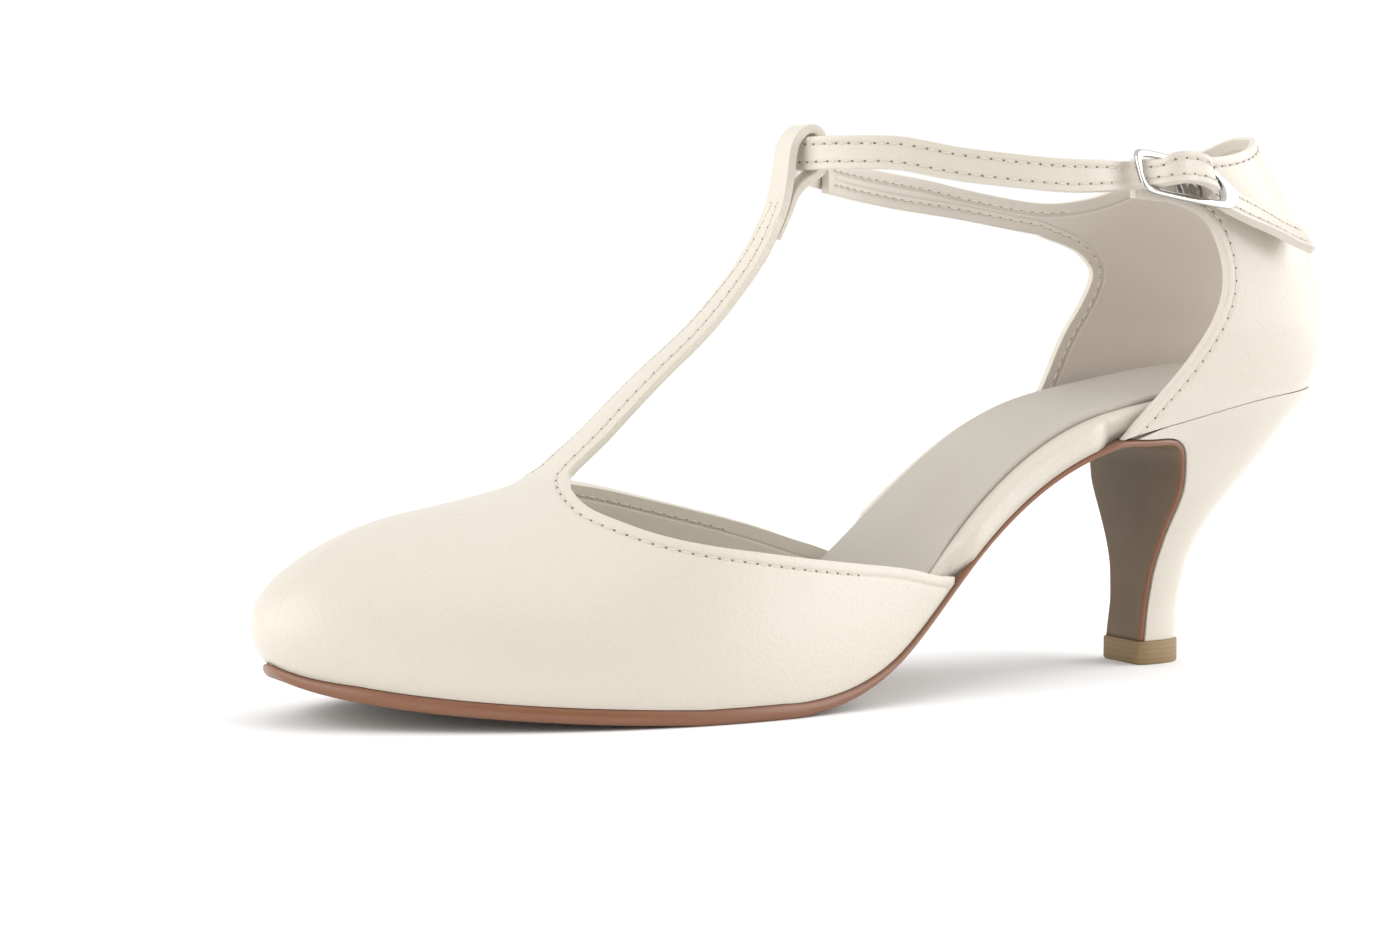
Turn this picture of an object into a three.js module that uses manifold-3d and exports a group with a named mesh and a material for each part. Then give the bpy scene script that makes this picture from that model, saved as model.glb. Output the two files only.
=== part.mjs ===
// T strap shoe, left foot, on a flared heel. Millimetres, +Z up, toe towards -X,
// outer side of the foot towards -Y, origin under the middle of the heel tip.
import * as THREE from 'three'
import Module from 'manifold-3d'

// sole and last
const soleLength = 235.7
const heelBackX = 36.5
const ballWidth = 77.0
const seatHeight = 57.7
const toeSpring = 10.5
const foreSoleThickness = 3.0
const shankThickness = 1.8
const seatSoleThickness = 1.5
const toeSoleThickness = 2.1
const flapThickness = 1.3
// upper
const upperWall = 1.7
const quarterWall = 2.0
const throatHeight = 46.8
const loopHeight = 113.7
const collarHeight = 112.5
const barHalfWidth = 5.5
const featherInset = 0.8
// ankle strap and buckle
const strapWidth = 6.5
const strapThickness = 1.7
const strapHeight = 108.1
const ankleHalfWidth = 25.5
const buckleReach = 11.8
const buckleCorner = 11.4
const bucklePoint = 2.4
const buckleHeight = 9.1
const buckleBar = 1.5
const windowReach = 8.7
const frameThickness = 1.4
// heel
const tipHeight = 5.0
const tipDepth = 13.2
const tipWidth = 14.2
const breastHalf = 22.6
// inside
const boardEdge = 4.2
const boardWaist = 6.0
const boardFore = 2.6
const edgeRoll = 1.6
const sockThickness = 1.0
const sockInset = 2.4
const fitGap = 0.3

// sole: station as a share of the length from the heel, half widths as shares of
// the ball width, height as shares of the seat height and of the toe spring
const sole = {
  share: [0, 0.05, 0.1, 0.2, 0.3, 0.4, 0.5, 0.6, 0.7, 0.8, 0.9, 0.96, 1],
  outer: [0, 0.236, 0.282, 0.304, 0.299, 0.332, 0.427, 0.499, 0.506, 0.445, 0.312, 0.192, 0],
  inner: [0, 0.234, 0.286, 0.304, 0.279, 0.262, 0.314, 0.421, 0.486, 0.465, 0.345, 0.221, 0],
  arch: [1, 0.979, 0.957, 0.875, 0.752, 0.471, 0.132, 0.003, 0.002, 0, 0, 0, 0],
  spring: [0, 0, 0, 0, 0, 0, 0, 0, 0, 0.143, 0.352, 0.581, 1]
}

// smooth curve through a table
function spline (xs, ys) {
  const n = xs.length
  const m = new Array(n).fill(0)
  const u = new Array(n).fill(0)
  for (let i = 1; i < n - 1; i++) {
    const sig = (xs[i] - xs[i - 1]) / (xs[i + 1] - xs[i - 1])
    const p = sig * m[i - 1] + 2
    m[i] = (sig - 1) / p
    const d = (ys[i + 1] - ys[i]) / (xs[i + 1] - xs[i]) - (ys[i] - ys[i - 1]) / (xs[i] - xs[i - 1])
    u[i] = (6 * d / (xs[i + 1] - xs[i - 1]) - sig * u[i - 1]) / p
  }
  for (let i = n - 2; i >= 0; i--) m[i] = m[i] * m[i + 1] + u[i]
  return x => {
    const q = Math.min(Math.max(x, xs[0]), xs[n - 1])
    let k = 0
    while (k < n - 2 && q > xs[k + 1]) k++
    const h = xs[k + 1] - xs[k]
    const a = (xs[k + 1] - q) / h
    const b = 1 - a
    return a * ys[k] + b * ys[k + 1] + ((a ** 3 - a) * m[k] + (b ** 3 - b) * m[k + 1]) * h * h / 6
  }
}

// straight lines through a table
function table (xs, ys) {
  return x => {
    let k = 0
    while (k < xs.length - 2 && x > xs[k + 1]) k++
    const f = Math.min(Math.max((x - xs[k]) / (xs[k + 1] - xs[k]), 0), 1)
    return ys[k] + (ys[k + 1] - ys[k]) * f
  }
}

const mix = (a, b, f) => a + (b - a) * f
const clamp = (v, lo, hi) => Math.min(Math.max(v, lo), hi)
const ease = f => { const g = clamp(f, 0, 1); return g * g * (3 - 2 * g) }
const times = (list, size) => list.map(v => v * size)
const along = list => list.map(v => heelBackX - v * soleLength)
const shareAngle = share => Math.acos(1 - 2 * clamp(share, 0, 1)) / Math.PI
const soleKnots = sole.share.map(shareAngle)
const byShare = list => {
  const curve = spline(soleKnots, list)
  return share => curve(shareAngle(share))
}
const outerHalf = byShare(times(sole.outer, ballWidth))
const innerHalf = byShare(times(sole.inner, ballWidth))
const underCurve = byShare(sole.arch.map((v, i) => v * seatHeight + sole.spring[i] * toeSpring))
const underHeight = share => Math.max(underCurve(share), 0)
const shareAt = x => (heelBackX - x) / soleLength
const soleThickness = table([0, 0.3, 0.5, 0.62, 0.95, 1], [seatSoleThickness, seatSoleThickness,
  shankThickness, foreSoleThickness, foreSoleThickness, toeSoleThickness])
const soleTop = x => underHeight(shareAt(x)) + soleThickness(shareAt(x))
const toeX = heelBackX - soleLength

// sole edge moved inwards by an inset that may change along the foot
function insetEdge (side, inset) {
  const half = side < 0 ? outerHalf : innerHalf
  const pts = []
  for (let i = 0; i <= 240; i++) {
    const share = (1 - Math.cos(Math.PI * i / 240)) / 2
    pts.push([heelBackX - share * soleLength, half(share)])
  }
  const moved = pts.map(([x, y], i) => {
    const a = pts[Math.max(i - 1, 0)]
    const b = pts[Math.min(i + 1, 240)]
    const l = Math.hypot(b[0] - a[0], b[1] - a[1])
    const d = inset(x)
    if (i === 0 || i === 240) return [x - d * Math.sign(120 - i), 0]
    return [x - d * (b[1] - a[1]) / l, y + d * (b[0] - a[0]) / l]
  }).sort((a, b) => a[0] - b[0])
  const at = table(moved.map(p => p[0]), moved.map(p => Math.max(p[1], 0)))
  return { at, front: moved[0][0], back: moved[240][0], points: moved }
}

// closed or open surface from points and faces, equal points joined
class Surface {
  constructor () { this.points = []; this.faces = []; this.keys = new Map() }
  add (p) {
    const key = p.map(v => Math.round(v * 2000)).join()
    if (!this.keys.has(key)) { this.keys.set(key, this.points.length); this.points.push(p) }
    return this.keys.get(key)
  }

  face (...ids) {
    const ring = ids.filter((v, i) => v !== ids[(i + 1) % ids.length])
    if (new Set(ring).size < ring.length) return
    for (let i = 1; i < ring.length - 1; i++) this.faces.push([ring[0], ring[i], ring[i + 1]])
  }

  // rows of points to quads; flip turns the faces over
  grid (rows, flip = false, loop = false) {
    const ids = rows.map(row => row.map(p => this.add(p)))
    for (let i = 0; i < ids.length - 1; i++) {
      const n = ids[i].length
      for (let j = 0; j < (loop ? n : n - 1); j++) {
        const k = (j + 1) % n
        const q = [ids[i][j], ids[i + 1][j], ids[i + 1][k], ids[i][k]]
        this.face(...(flip ? q.reverse() : q))
      }
    }
    return ids
  }

  normals () {
    const out = this.points.map(() => new THREE.Vector3())
    for (const [a, b, c] of this.faces) {
      const [p, q, r] = [a, b, c].map(i => new THREE.Vector3(...this.points[i]))
      const u = q.clone().sub(p)
      const v = r.clone().sub(p)
      const n = u.clone().cross(v)
      const angle = (s, t) => s.angleTo(t) || 0
      const l = n.length()
      if (l < 1e-9) continue
      n.divideScalar(l)
      out[a].addScaledVector(n, angle(u, v))
      out[b].addScaledVector(n, angle(u.clone().negate(), r.clone().sub(q)))
      out[c].addScaledVector(n, angle(v.clone().negate(), q.clone().sub(r)))
    }
    return out.map(n => n.normalize())
  }

  // gives an open sheet a real wall on its inner side
  thicken (wall) {
    const solid = new Surface()
    const normals = this.normals()
    const n = this.points.length
    const back = this.points.map((p, i) => {
      const w = typeof wall === 'function' ? wall(p, i) : wall
      return [p[0] - normals[i].x * w, p[1] - normals[i].y * w, p[2] - normals[i].z * w]
    })
    solid.points = [...this.points, ...back]
    const used = new Map()
    for (const f of this.faces) {
      for (let i = 0; i < 3; i++) used.set(f[i] + '_' + f[(i + 1) % 3], [f[i], f[(i + 1) % 3]])
      solid.faces.push([...f], [f[0] + n, f[2] + n, f[1] + n])
    }
    for (const [a, b] of used.values()) {
      if (used.has(b + '_' + a)) continue
      solid.faces.push([b, a, a + n], [b, a + n, b + n])
    }
    return solid
  }

  // turns every face outwards
  outward () {
    const v = this.faces.reduce((t, f) => {
      const [a, b, c] = f.map(i => new THREE.Vector3(...this.points[i]))
      return t + a.dot(b.cross(c))
    }, 0)
    if (v < 0) for (const f of this.faces) f.reverse()
    return this
  }

  geometry () {
    this.outward()
    const g = new THREE.BufferGeometry()
    g.setAttribute('position', new THREE.Float32BufferAttribute(this.points.flat(), 3))
    g.setIndex(this.faces.flat())
    g.computeVertexNormals()
    return g
  }
}

// solid through closed rings, ends closed by fans
function loft (rings, flip = false) {
  const s = new Surface()
  const ids = s.grid(rings, flip, true)
  const ends = [[ids[0], flip], [ids[ids.length - 1], !flip]]
  for (const [ring, turn] of ends) {
    const pts = ring.map(i => s.points[i])
    if (new Set(ring).size < 3) continue
    const centre = [0, 1, 2].map(k => pts.reduce((t, p) => t + p[k], 0) / pts.length)
    const c = s.add(centre)
    for (let j = 0; j < ring.length; j++) {
      const k = (j + 1) % ring.length
      s.face(...(turn ? [c, ring[k], ring[j]] : [c, ring[j], ring[k]]))
    }
  }
  return s
}

// solid strip across the foot: top and bottom heights over an outline
function slab (xs, outer, inner, top, bottom, shape) {
  return loft(xs.map(x => {
    const ring = []
    const lo = -outer(x)
    const hi = inner(x)
    for (const [f, side, lift] of shape) {
      const y = mix(lo, hi, f)
      ring.push([x, y, (side ? top(x, y) : bottom(x, y)) + lift])
    }
    return ring
  }))
}

const group = new THREE.Group()
group.name = 't_strap_shoe'
function addMesh (name, geometry, color, roughness, metalness = 0) {
  const material = new THREE.MeshStandardMaterial({ color, roughness, metalness })
  material.name = name
  const mesh = new THREE.Mesh(geometry, material)
  mesh.name = name
  group.add(mesh)
}
const cream = '#ece4d4'

// heel block: tilted rings from the tip up to the seat; the fore line is the breast
const block = {
  back: [0, 0.003, 0.017, 0.053, 0.086, 0.156, 0.233, 0.336, 0.472, 0.628, 0.731, 0.834, 0.917,
    0.97, 1],
  backRise: [0, 0.088, 0.162, 0.256, 0.33, 0.414, 0.489, 0.573, 0.666, 0.75, 0.815, 0.877, 0.927,
    0.965, 1],
  fore: [-0.371, -0.333, -0.303, -0.273, -0.25, -0.227, -0.212, -0.189, -0.174, -0.174, -0.205,
    -0.333, -0.636, -1.03, -1.379],
  foreRise: [0, 0.08, 0.144, 0.228, 0.293, 0.368, 0.442, 0.526, 0.61, 0.685, 0.741, 0.789, 0.821,
    0.823, 0.825],
  half: [0, -0.006, -0.003, 0.038, 0.088, 0.189, 0.314, 0.484, 0.629, 0.673, 0.698, 0.736, 0.824,
    0.912, 1],
  power: [2.3, 2.3, 2.3, 2.3, 2.35, 2.4, 2.45, 2.5, 2.6, 2.7, 2.8, 2.9, 3, 3, 3]
}
const blockLow = tipHeight + fitGap
const blockHigh = seatHeight + seatSoleThickness - fitGap
const blockRings = block.back.map((_, k) => ({
  backX: mix(tipDepth / 2 - 0.2, heelBackX, block.back[k]),
  backZ: mix(blockLow, blockHigh, block.backRise[k]),
  foreX: block.fore[k] * tipDepth,
  foreZ: mix(blockLow, blockHigh, block.foreRise[k]),
  half: mix(tipWidth / 2 - 0.4, breastHalf, block.half[k]),
  power: block.power[k]
}))

// outsole: forefoot and shank, then the flap down the heel breast
const across = [0, 0.15, 0.5, 0.85, 1]
const shankEnd = shareAt(blockRings[14].foreX - 3.9)
const stations = []
const soleSteps = 36
for (let i = 0; i <= soleSteps; i++) {
  stations.push(1 - (1 - Math.cos(Math.PI / 2 * i / soleSteps)) * (1 - shankEnd))
}
const solePath = stations.map(share => ({
  x: heelBackX - soleLength * share,
  z: underHeight(share),
  outer: outerHalf(share),
  inner: innerHalf(share),
  thick: soleThickness(share),
  normal: [0, 1]
}))
const flapRings = blockRings.slice().reverse()
flapRings.forEach((ring, i) => {
  const a = flapRings[Math.max(i - 1, 0)]
  const b = flapRings[Math.min(i + 1, flapRings.length - 1)]
  const l = Math.hypot(b.foreX - a.foreX, b.foreZ - a.foreZ)
  const last = i === flapRings.length - 1
  const normal = last ? [1, 0] : [-(b.foreZ - a.foreZ) / l, (b.foreX - a.foreX) / l]
  const off = fitGap + (i < 3 ? seatSoleThickness : flapThickness)
  solePath.push({
    x: ring.foreX - normal[0] * off,
    z: ring.foreZ - normal[1] * off,
    outer: ring.half - 0.2,
    inner: ring.half - 0.2,
    thick: off - fitGap,
    normal
  })
})
addMesh('outsole', loft(solePath.map(s => {
  const low = across.map(f => [s.x, mix(-s.outer, s.inner, f), s.z])
  const high = low.map(([x, y, z]) => [x + s.normal[0] * s.thick, y, z + s.normal[1] * s.thick])
  return [...low, ...high.reverse()]
})).geometry(), '#a9714f', 0.5)

const blockSteps = 11
const seatRing = 10
const seatTop = x => soleTop(x) - fitGap
addMesh('heel', loft(blockRings.map((r, k) => {
  const side = []
  for (let i = 0; i <= blockSteps; i++) {
    const a = Math.PI / 2 * i / blockSteps
    const p = 2 / r.power
    side.push([mix(r.foreX, r.backX, Math.sin(a) ** p), r.half * Math.cos(a) ** p])
  }
  side[blockSteps][1] = 0
  const height = x => {
    const flat = mix(r.foreZ, r.backZ, (x - r.foreX) / (r.backX - r.foreX))
    return mix(flat, seatTop(x), Math.max(0, (k - seatRing) / (14 - seatRing)) ** 2)
  }
  return [
    ...side.map(([x, y]) => [x, -y, height(x)]),
    ...side.slice(0, -1).reverse().map(([x, y]) => [x, y, height(x)]),
    ...[0.75, 0.5, 0.25].map(f => [r.foreX, mix(-r.half, r.half, f), height(r.foreX)])
  ]
})).geometry(), cream, 0.45)

// heel tip
const tipRing = (z, inset) => {
  const ring = []
  const r = tipWidth / 2 - inset
  const foreX = -tipDepth / 2 + inset
  const backX = tipDepth / 2 - inset
  for (let i = 0; i <= 24; i++) {
    const a = -Math.PI / 2 + Math.PI * i / 24
    const p = 2 / 2.3
    const y = Math.sign(Math.sin(a)) * Math.abs(Math.sin(a)) ** p * r
    ring.push([mix(foreX + 2, backX, Math.cos(a) ** p), y, z])
  }
  ring.push([foreX, r - 0.6, z], [foreX, 0, z], [foreX, -r + 0.6, z])
  return ring
}
addMesh('top_piece', loft([tipRing(0, 0.5), tipRing(0.5, 0), tipRing(tipHeight, 0)])
  .geometry(), '#9b7d58', 0.7)

// insole board, wider at the open waist where its wrapped edge shows
const [waistFore, waistBack] = along([0.4285, 0.2524])
const hidden = x => 1 - ease((x - waistFore) / 5) * ease((waistBack - x) / 5)
const boardInset = x => mix(featherInset + 0.3, featherInset + quarterWall + fitGap + 0.7, hidden(x))
const boardLift = spline([0, 0.135, 0.24, 0.345, 0.45, 0.56, 0.705, 1],
  [boardEdge, boardEdge * 1.1, boardWaist * 0.93, boardWaist, boardWaist * 0.93,
    boardFore * 1.38, boardFore * 1.08, boardFore])
const boardThickness = x => boardLift(shareAt(x))
const boardOuter = insetEdge(-1, boardInset)
const boardInner = insetEdge(1, boardInset)
const boardBottom = x => soleTop(x) + fitGap
const boardTop = x => boardBottom(x) + boardThickness(x)
// the same stations as the sole, so the layers stay an even gap apart
for (let i = 1; i <= 14; i++) stations.push(shankEnd * (1 - Math.sin(Math.PI / 2 * i / 14)))
function layerXs (edge) {
  const front = edge.front + 0.02
  const back = edge.back - 0.02
  const inside = stations.map(s => heelBackX - soleLength * s).filter(x => x > front && x < back)
  return [front, ...inside.filter(x => x - front > 0.15 && back - x > 0.15), back]
}
const boardXs = layerXs(boardOuter)
const boardShape = [[0, 1, -edgeRoll], [0.012, 1, -edgeRoll * 0.35], [0.045, 1, 0], [0.5, 1, 0],
  [0.955, 1, 0], [0.988, 1, -edgeRoll * 0.35], [1, 1, -edgeRoll], [1, 0, 0], [0.5, 0, 0], [0, 0, 0]]
addMesh('insole_board', slab(boardXs, boardOuter.at, boardInner.at, boardTop, boardBottom,
  [...boardShape].reverse()).geometry(), cream, 0.5)

// sock glued on the board
const sockEdge = x => boardInset(x) + mix(sockInset, 1.3, hidden(x))
const sockOuter = insetEdge(-1, sockEdge)
const sockInner = insetEdge(1, sockEdge)
const sockXs = layerXs(sockOuter)
const sockShape = [0, 0.5, 1]
addMesh('insole_sock', slab(sockXs, sockOuter.at, sockInner.at,
  x => boardTop(x) + fitGap + sockThickness, x => boardTop(x) + fitGap,
  [...sockShape.map(f => [f, 0, 0]), ...sockShape.map(f => [f, 1, 0]).reverse()])
  .geometry(), '#c9c0b4', 0.7)

// last surface of the forepart: ribs from the feather edge to the ridge, which fan
// out from the spine at the toe
const ridge = {
  along: [1.008, 0.991, 0.969, 0.936, 0.902, 0.868, 0.832, 0.796, 0.764, 0.739, 0.713, 0.686,
    0.655, 0.618, 0.584],
  rise: [0.577, 0.626, 0.684, 0.756, 0.81, 0.842, 0.872, 0.908, 0.964, 1.056, 1.171, 1.299, 1.429,
    1.575, 1.735]
}
const ridgeHeight = spline(along(ridge.along).sort((a, b) => a - b), times(ridge.rise, throatHeight))
const lastEdge = { [-1]: insetEdge(-1, () => featherInset), 1: insetEdge(1, () => featherInset) }
const lastToe = toeX + featherInset
const [foldX, throatX, vampEndX, beltX] = along([0.7998, 0.7505, 0.4306, 0.41])
const foldReach = 0.1146 * soleLength
const spineX = x => x > foldX ? x : foldX - foldReach * (1 - Math.exp((x - foldX) / foldReach))
const form = {
  along: [1, 0.96, 0.88, 0.79, 0.66, 0.54, 0.41],
  rise: [0.52, 0.53, 0.54, 0.56, 0.5, 0.42, 0.4],
  full: [0.34, 0.4, 0.45, 0.47, 0.42, 0.4, 0.4],
  bulge: [0.285, 0.165, 0.08, 0.05, 0.034, 0.022, 0.013]
}
const byForm = list => spline(along(form.along), list)
const riseShare = byForm(form.rise)
const fullShare = byForm(form.full)
const bulgeOut = byForm(times(form.bulge, throatHeight))
function lastPoint (side, x, v) {
  const half = lastEdge[side].at(x)
  const near = lastEdge[side].at(Math.min(x + 1.2, beltX))
  const far = lastEdge[side].at(Math.max(x - 1.2, lastToe))
  let nx = far - near
  let ny = 2.4
  if (x < lastToe + 1) { nx = -1; ny = Math.sqrt(Math.max(x - lastToe, 0)) * 0.4 }
  const l = Math.hypot(nx, ny)
  const z0 = soleTop(x) + fitGap
  const sx = spineX(x)
  const zr = ridgeHeight(sx)
  const slope = ridgeHeight(sx + 0.5) - ridgeHeight(sx - 0.5)
  const out = bulgeOut(x)
  const dx = x - sx
  const c = fullShare(x)
  const p0 = [x, half, z0]
  const p1 = [x + nx / l * out, half + ny / l * out, z0 + riseShare(x) * (zr - z0)]
  const p2 = [sx + dx * c, half * c, zr + slope * dx * c * 0.85]
  const p3 = [sx, 0, zr]
  const u = 1 - v
  const b = [u ** 3, 3 * u * u * v, 3 * u * v * v, v ** 3]
  const q = [0, 1, 2].map(k => b[0] * p0[k] + b[1] * p1[k] + b[2] * p2[k] + b[3] * p3[k])
  return [q[0], side * q[1], q[2]]
}

// share up a rib where a test on its points turns
function ribShare (side, x, from, test) {
  let lo = from
  let hi = 1
  for (let i = 0; i < 30; i++) {
    const m = (lo + hi) / 2
    if (test(lastPoint(side, x, m))) lo = m
    else hi = m
  }
  return (lo + hi) / 2
}

// opening's top line on each side, from the throat back to the waist
const topline = {
  [-1]: {
    along: [0.749, 0.747, 0.74, 0.721, 0.689, 0.643, 0.589, 0.53, 0.483, 0.453, 0.431],
    rise: [0.889, 0.855, 0.816, 0.769, 0.726, 0.684, 0.641, 0.598, 0.562, 0.526, 0.511]
  },
  1: {
    along: [0.744, 0.732, 0.713, 0.683, 0.647, 0.607, 0.554, 0.509, 0.477, 0.454, 0.431],
    rise: [0.936, 0.927, 0.915, 0.889, 0.85, 0.797, 0.724, 0.656, 0.598, 0.56, 0.511]
  }
}
const toeSteps = 19
const wingSteps = 20
const ribRows = 7

// feather stations from the toe back to the throat
const featherXs = []
for (let i = 0; i <= toeSteps; i++) {
  const f = i / toeSteps
  featherXs.push(mix(lastToe, throatX, f * f * (0.4 + 0.6 * f) * 0.35 + f * 0.65 * f))
}
function foreRib (side, x) {
  const rib = []
  const vBar = ribShare(side, x, 0.4, p => Math.abs(p[1]) > barHalfWidth * 1.25)
  for (let j = 0; j <= ribRows; j++) rib.push(lastPoint(side, x, vBar * j / ribRows))
  rib.push(lastPoint(side, x, mix(1, vBar, 0.45)), lastPoint(side, x, 1))
  return rib
}
const vampSheet = new Surface()
for (const side of [-1, 1]) {
  vampSheet.grid(featherXs.map(x => foreRib(side, x)), side > 0)
  const t = topline[side]
  const knots = t.along.map((_, i) => i / (t.along.length - 1))
  const topX = spline(knots, along(t.along))
  const topZ = spline(knots, times(t.rise, throatHeight))
  const rows = [foreRib(side, throatX).slice(0, ribRows + 1)]
  for (let k = 1; k <= wingSteps; k++) {
    const f = k / wingSteps
    const fx = mix(throatX, vampEndX, f ** 1.12)
    const v = ribShare(side, topX(f), 0, p => p[2] < topZ(f))
    const row = []
    for (let j = 0; j <= ribRows; j++) {
      row.push(lastPoint(side, mix(fx, topX(f), ease(j / ribRows)), v * j / ribRows))
    }
    rows.push(row)
  }
  vampSheet.grid(rows, side > 0)
}

// T bar: up the instep, over the strap and down behind itself, thinner to its end
const bar = {
  along: [0.751, 0.719, 0.689, 0.656, 0.621, 0.59, 0.567, 0.553, 0.543, 0.539, 0.536, 0.533,
    0.525, 0.514, 0.504, 0.499, 0.497, 0.501, 0.514, 0.525, 0.532, 0.545],
  rise: [0, 0.103, 0.2, 0.297, 0.401, 0.511, 0.61, 0.694, 0.762, 0.825, 0.885, 0.942, 0.981, 1,
    0.988, 0.951, 0.897, 0.854, 0.822, 0.789, 0.738, 0.655],
  half: [1.25, 1.18, 1.11, 1.04, 0.95, 0.85, 0.78, 0.71, 0.65, 0.62, 0.6, 0.58, 0.58, 0.58, 0.58,
    0.58, 0.58, 0.58, 0.58, 0.58, 0.58, 0.58],
  crown: [0.22, 0.22, 0.2, 0.16, 0.13, 0.09, 0.07, 0.05, 0.02, 0, 0, 0, 0, 0, 0, 0, 0, 0, 0, 0,
    -0.02, -0.03],
  wall: [1, 1, 1, 1, 1, 1, 1, 1, 1, 1, 1, 1, 1, 1, 1, 1, 1, 0.94, 0.76, 0.65, 0.53, 0.41]
}
const barX = along(bar.along)
const barZ = bar.rise.map(f => mix(throatHeight, loopHeight, f))
const barRows = [[...foreRib(-1, throatX).slice(ribRows),
  ...foreRib(1, throatX).slice(ribRows, -1).reverse()]]
for (let i = 1; i < barX.length; i++) {
  const a = i - 1
  const b = Math.min(i + 1, barX.length - 1)
  const dx = barX[b] - barX[a]
  const dz = barZ[b] - barZ[a]
  const l = Math.hypot(dx, dz)
  barRows.push([-1, -0.45, 0, 0.45, 1].map(f => {
    const drop = bar.crown[i] * barHalfWidth * f * f
    return [barX[i] + dz / l * drop, f * bar.half[i] * barHalfWidth, barZ[i] - dx / l * drop]
  }))
}
const barWall = new Map()
vampSheet.grid(barRows).forEach((row, i) => row.forEach(id => barWall.set(id, bar.wall[i])))
addMesh('vamp', vampSheet.thicken((p, i) => upperWall * (barWall.get(i) ?? 1)).geometry(), cream, 0.42)

// quarter: rows up the counter, each a U from the outer front edge round to the inner
const back = {
  rise: [0, 0.043, 0.096, 0.197, 0.296, 0.409, 0.527, 0.672, 0.773, 0.865, 0.962, 1],
  reach: [0.989, 1.041, 1.074, 1.088, 1.074, 1.047, 0.986, 0.888, 0.811, 0.734, 0.655, 0.627]
}
const counterLow = soleTop(heelBackX) + fitGap
const backZ = back.rise.map(f => mix(counterLow, collarHeight, f))
const backX = spline(backZ, times(back.reach, heelBackX))
const seatZ = x => soleTop(x) + fitGap
const rim = {
  [-1]: {
    top: {
      along: [0.058, 0.066, 0.081, 0.104, 0.138, 0.168, 0.206, 0.257],
      rise: [1, 0.998, 0.988, 0.973, 0.96, 0.956, 0.953, 0.951]
    },
    low: {
      along: [0.206, 0.257],
      rise: [0.873, 0.884]
    },
    front: {
      rise: [0, 0.07, 0.16, 0.34, 0.446, 0.58, 0.7, 0.79, 0.84],
      along: [0.2482, 0.2249, 0.1973, 0.1574, 0.1447, 0.1438, 0.154, 0.1761, 0.2058]
    }
  },
  1: {
    top: {
      along: [0.058, 0.061, 0.074, 0.091, 0.121, 0.148, 0.169, 0.193, 0.231, 0.267, 0.297, 0.327,
        0.356, 0.443, 0.503],
      rise: [1, 0.99, 0.967, 0.943, 0.91, 0.889, 0.879, 0.874, 0.878, 0.891, 0.903, 0.916, 0.924,
        0.948, 0.967]
    },
    low: {
      along: [0.206, 0.23, 0.267, 0.297, 0.356, 0.451, 0.503],
      rise: [0.811, 0.819, 0.832, 0.843, 0.859, 0.887, 0.901]
    },
    front: {
      rise: [0, 0.1, 0.23, 0.37, 0.5, 0.57, 0.638, 0.694, 0.745, 0.8, 0.84],
      along: [0.2355, 0.2168, 0.2003, 0.1833, 0.1638, 0.1557, 0.1527, 0.1583, 0.1672, 0.1854,
        0.2058]
    }
  }
}
const rimHeight = t => {
  const curve = spline(along(t.along).reverse(), times(t.rise, collarHeight).reverse())
  return x => curve(x)
}
const topZ = { [-1]: rimHeight(rim[-1].top), 1: rimHeight(rim[1].top) }
const lowZ = { [-1]: rimHeight(rim[-1].low), 1: rimHeight(rim[1].low) }
const frontX = {
  [-1]: spline(rim[-1].front.rise, along(rim[-1].front.along)),
  1: spline(rim[1].front.rise, along(rim[1].front.along))
}
const earRise = 0.84
const collarX = backX(collarHeight)
const sideX = along([0.2143])[0]
const roundPower = table(times([0.533, 0.756, 0.889, 0.978], collarHeight), [2.75, 2.6, 2.2, 1.95])
const quarterWide = table(times([0.462, 0.516, 0.64, 0.8, 0.96], collarHeight),
  times([0.894, 0.91, 0.957, 0.965, 0.957], ankleHalfWidth))
function quarterHalf (x, z) {
  const bx = backX(clamp(z, counterLow, collarHeight))
  const f = clamp((x - sideX) / (bx - sideX), 0, 1)
  const p = roundPower(z)
  return quarterWide(z) * Math.max(1 - f ** p, 0) ** (1 / p)
}
// v up from the seat to the rim, f from the back round to the front edge
function quarterPoint (side, v, f) {
  if (f === 0) return [backX(mix(counterLow, collarHeight, v)), 0, mix(counterLow, collarHeight, v)]
  const end = frontX[side](Math.min(v, earRise))
  let p
  let z = mix(counterLow, collarHeight, v)
  for (let k = 0; k < 4; k++) {
    const bx = backX(z)
    const turned = bx + (end - bx) * (1 - Math.cos(f * Math.PI / 2))
    const x = mix(turned, bx + (end - bx) * f, 0.15 * f)
    z = mix(seatZ(Math.min(x, heelBackX)), topZ[side](Math.min(x, collarX)), v)
    p = [x, side * quarterHalf(x, z), z]
  }
  return p
}
const roundSteps = 18
const rises = [0, 0.05, 0.11, 0.18, 0.26, 0.35, 0.45, 0.55, 0.65, 0.73, 0.79, earRise, 0.89, 0.95, 1]
const quarterSheet = new Surface()
for (const side of [-1, 1]) {
  quarterSheet.grid(rises.map(v => {
    const row = []
    for (let i = 0; i <= roundSteps; i++) row.push(quarterPoint(side, v, i / roundSteps))
    return row
  }), side > 0)
}

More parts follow.
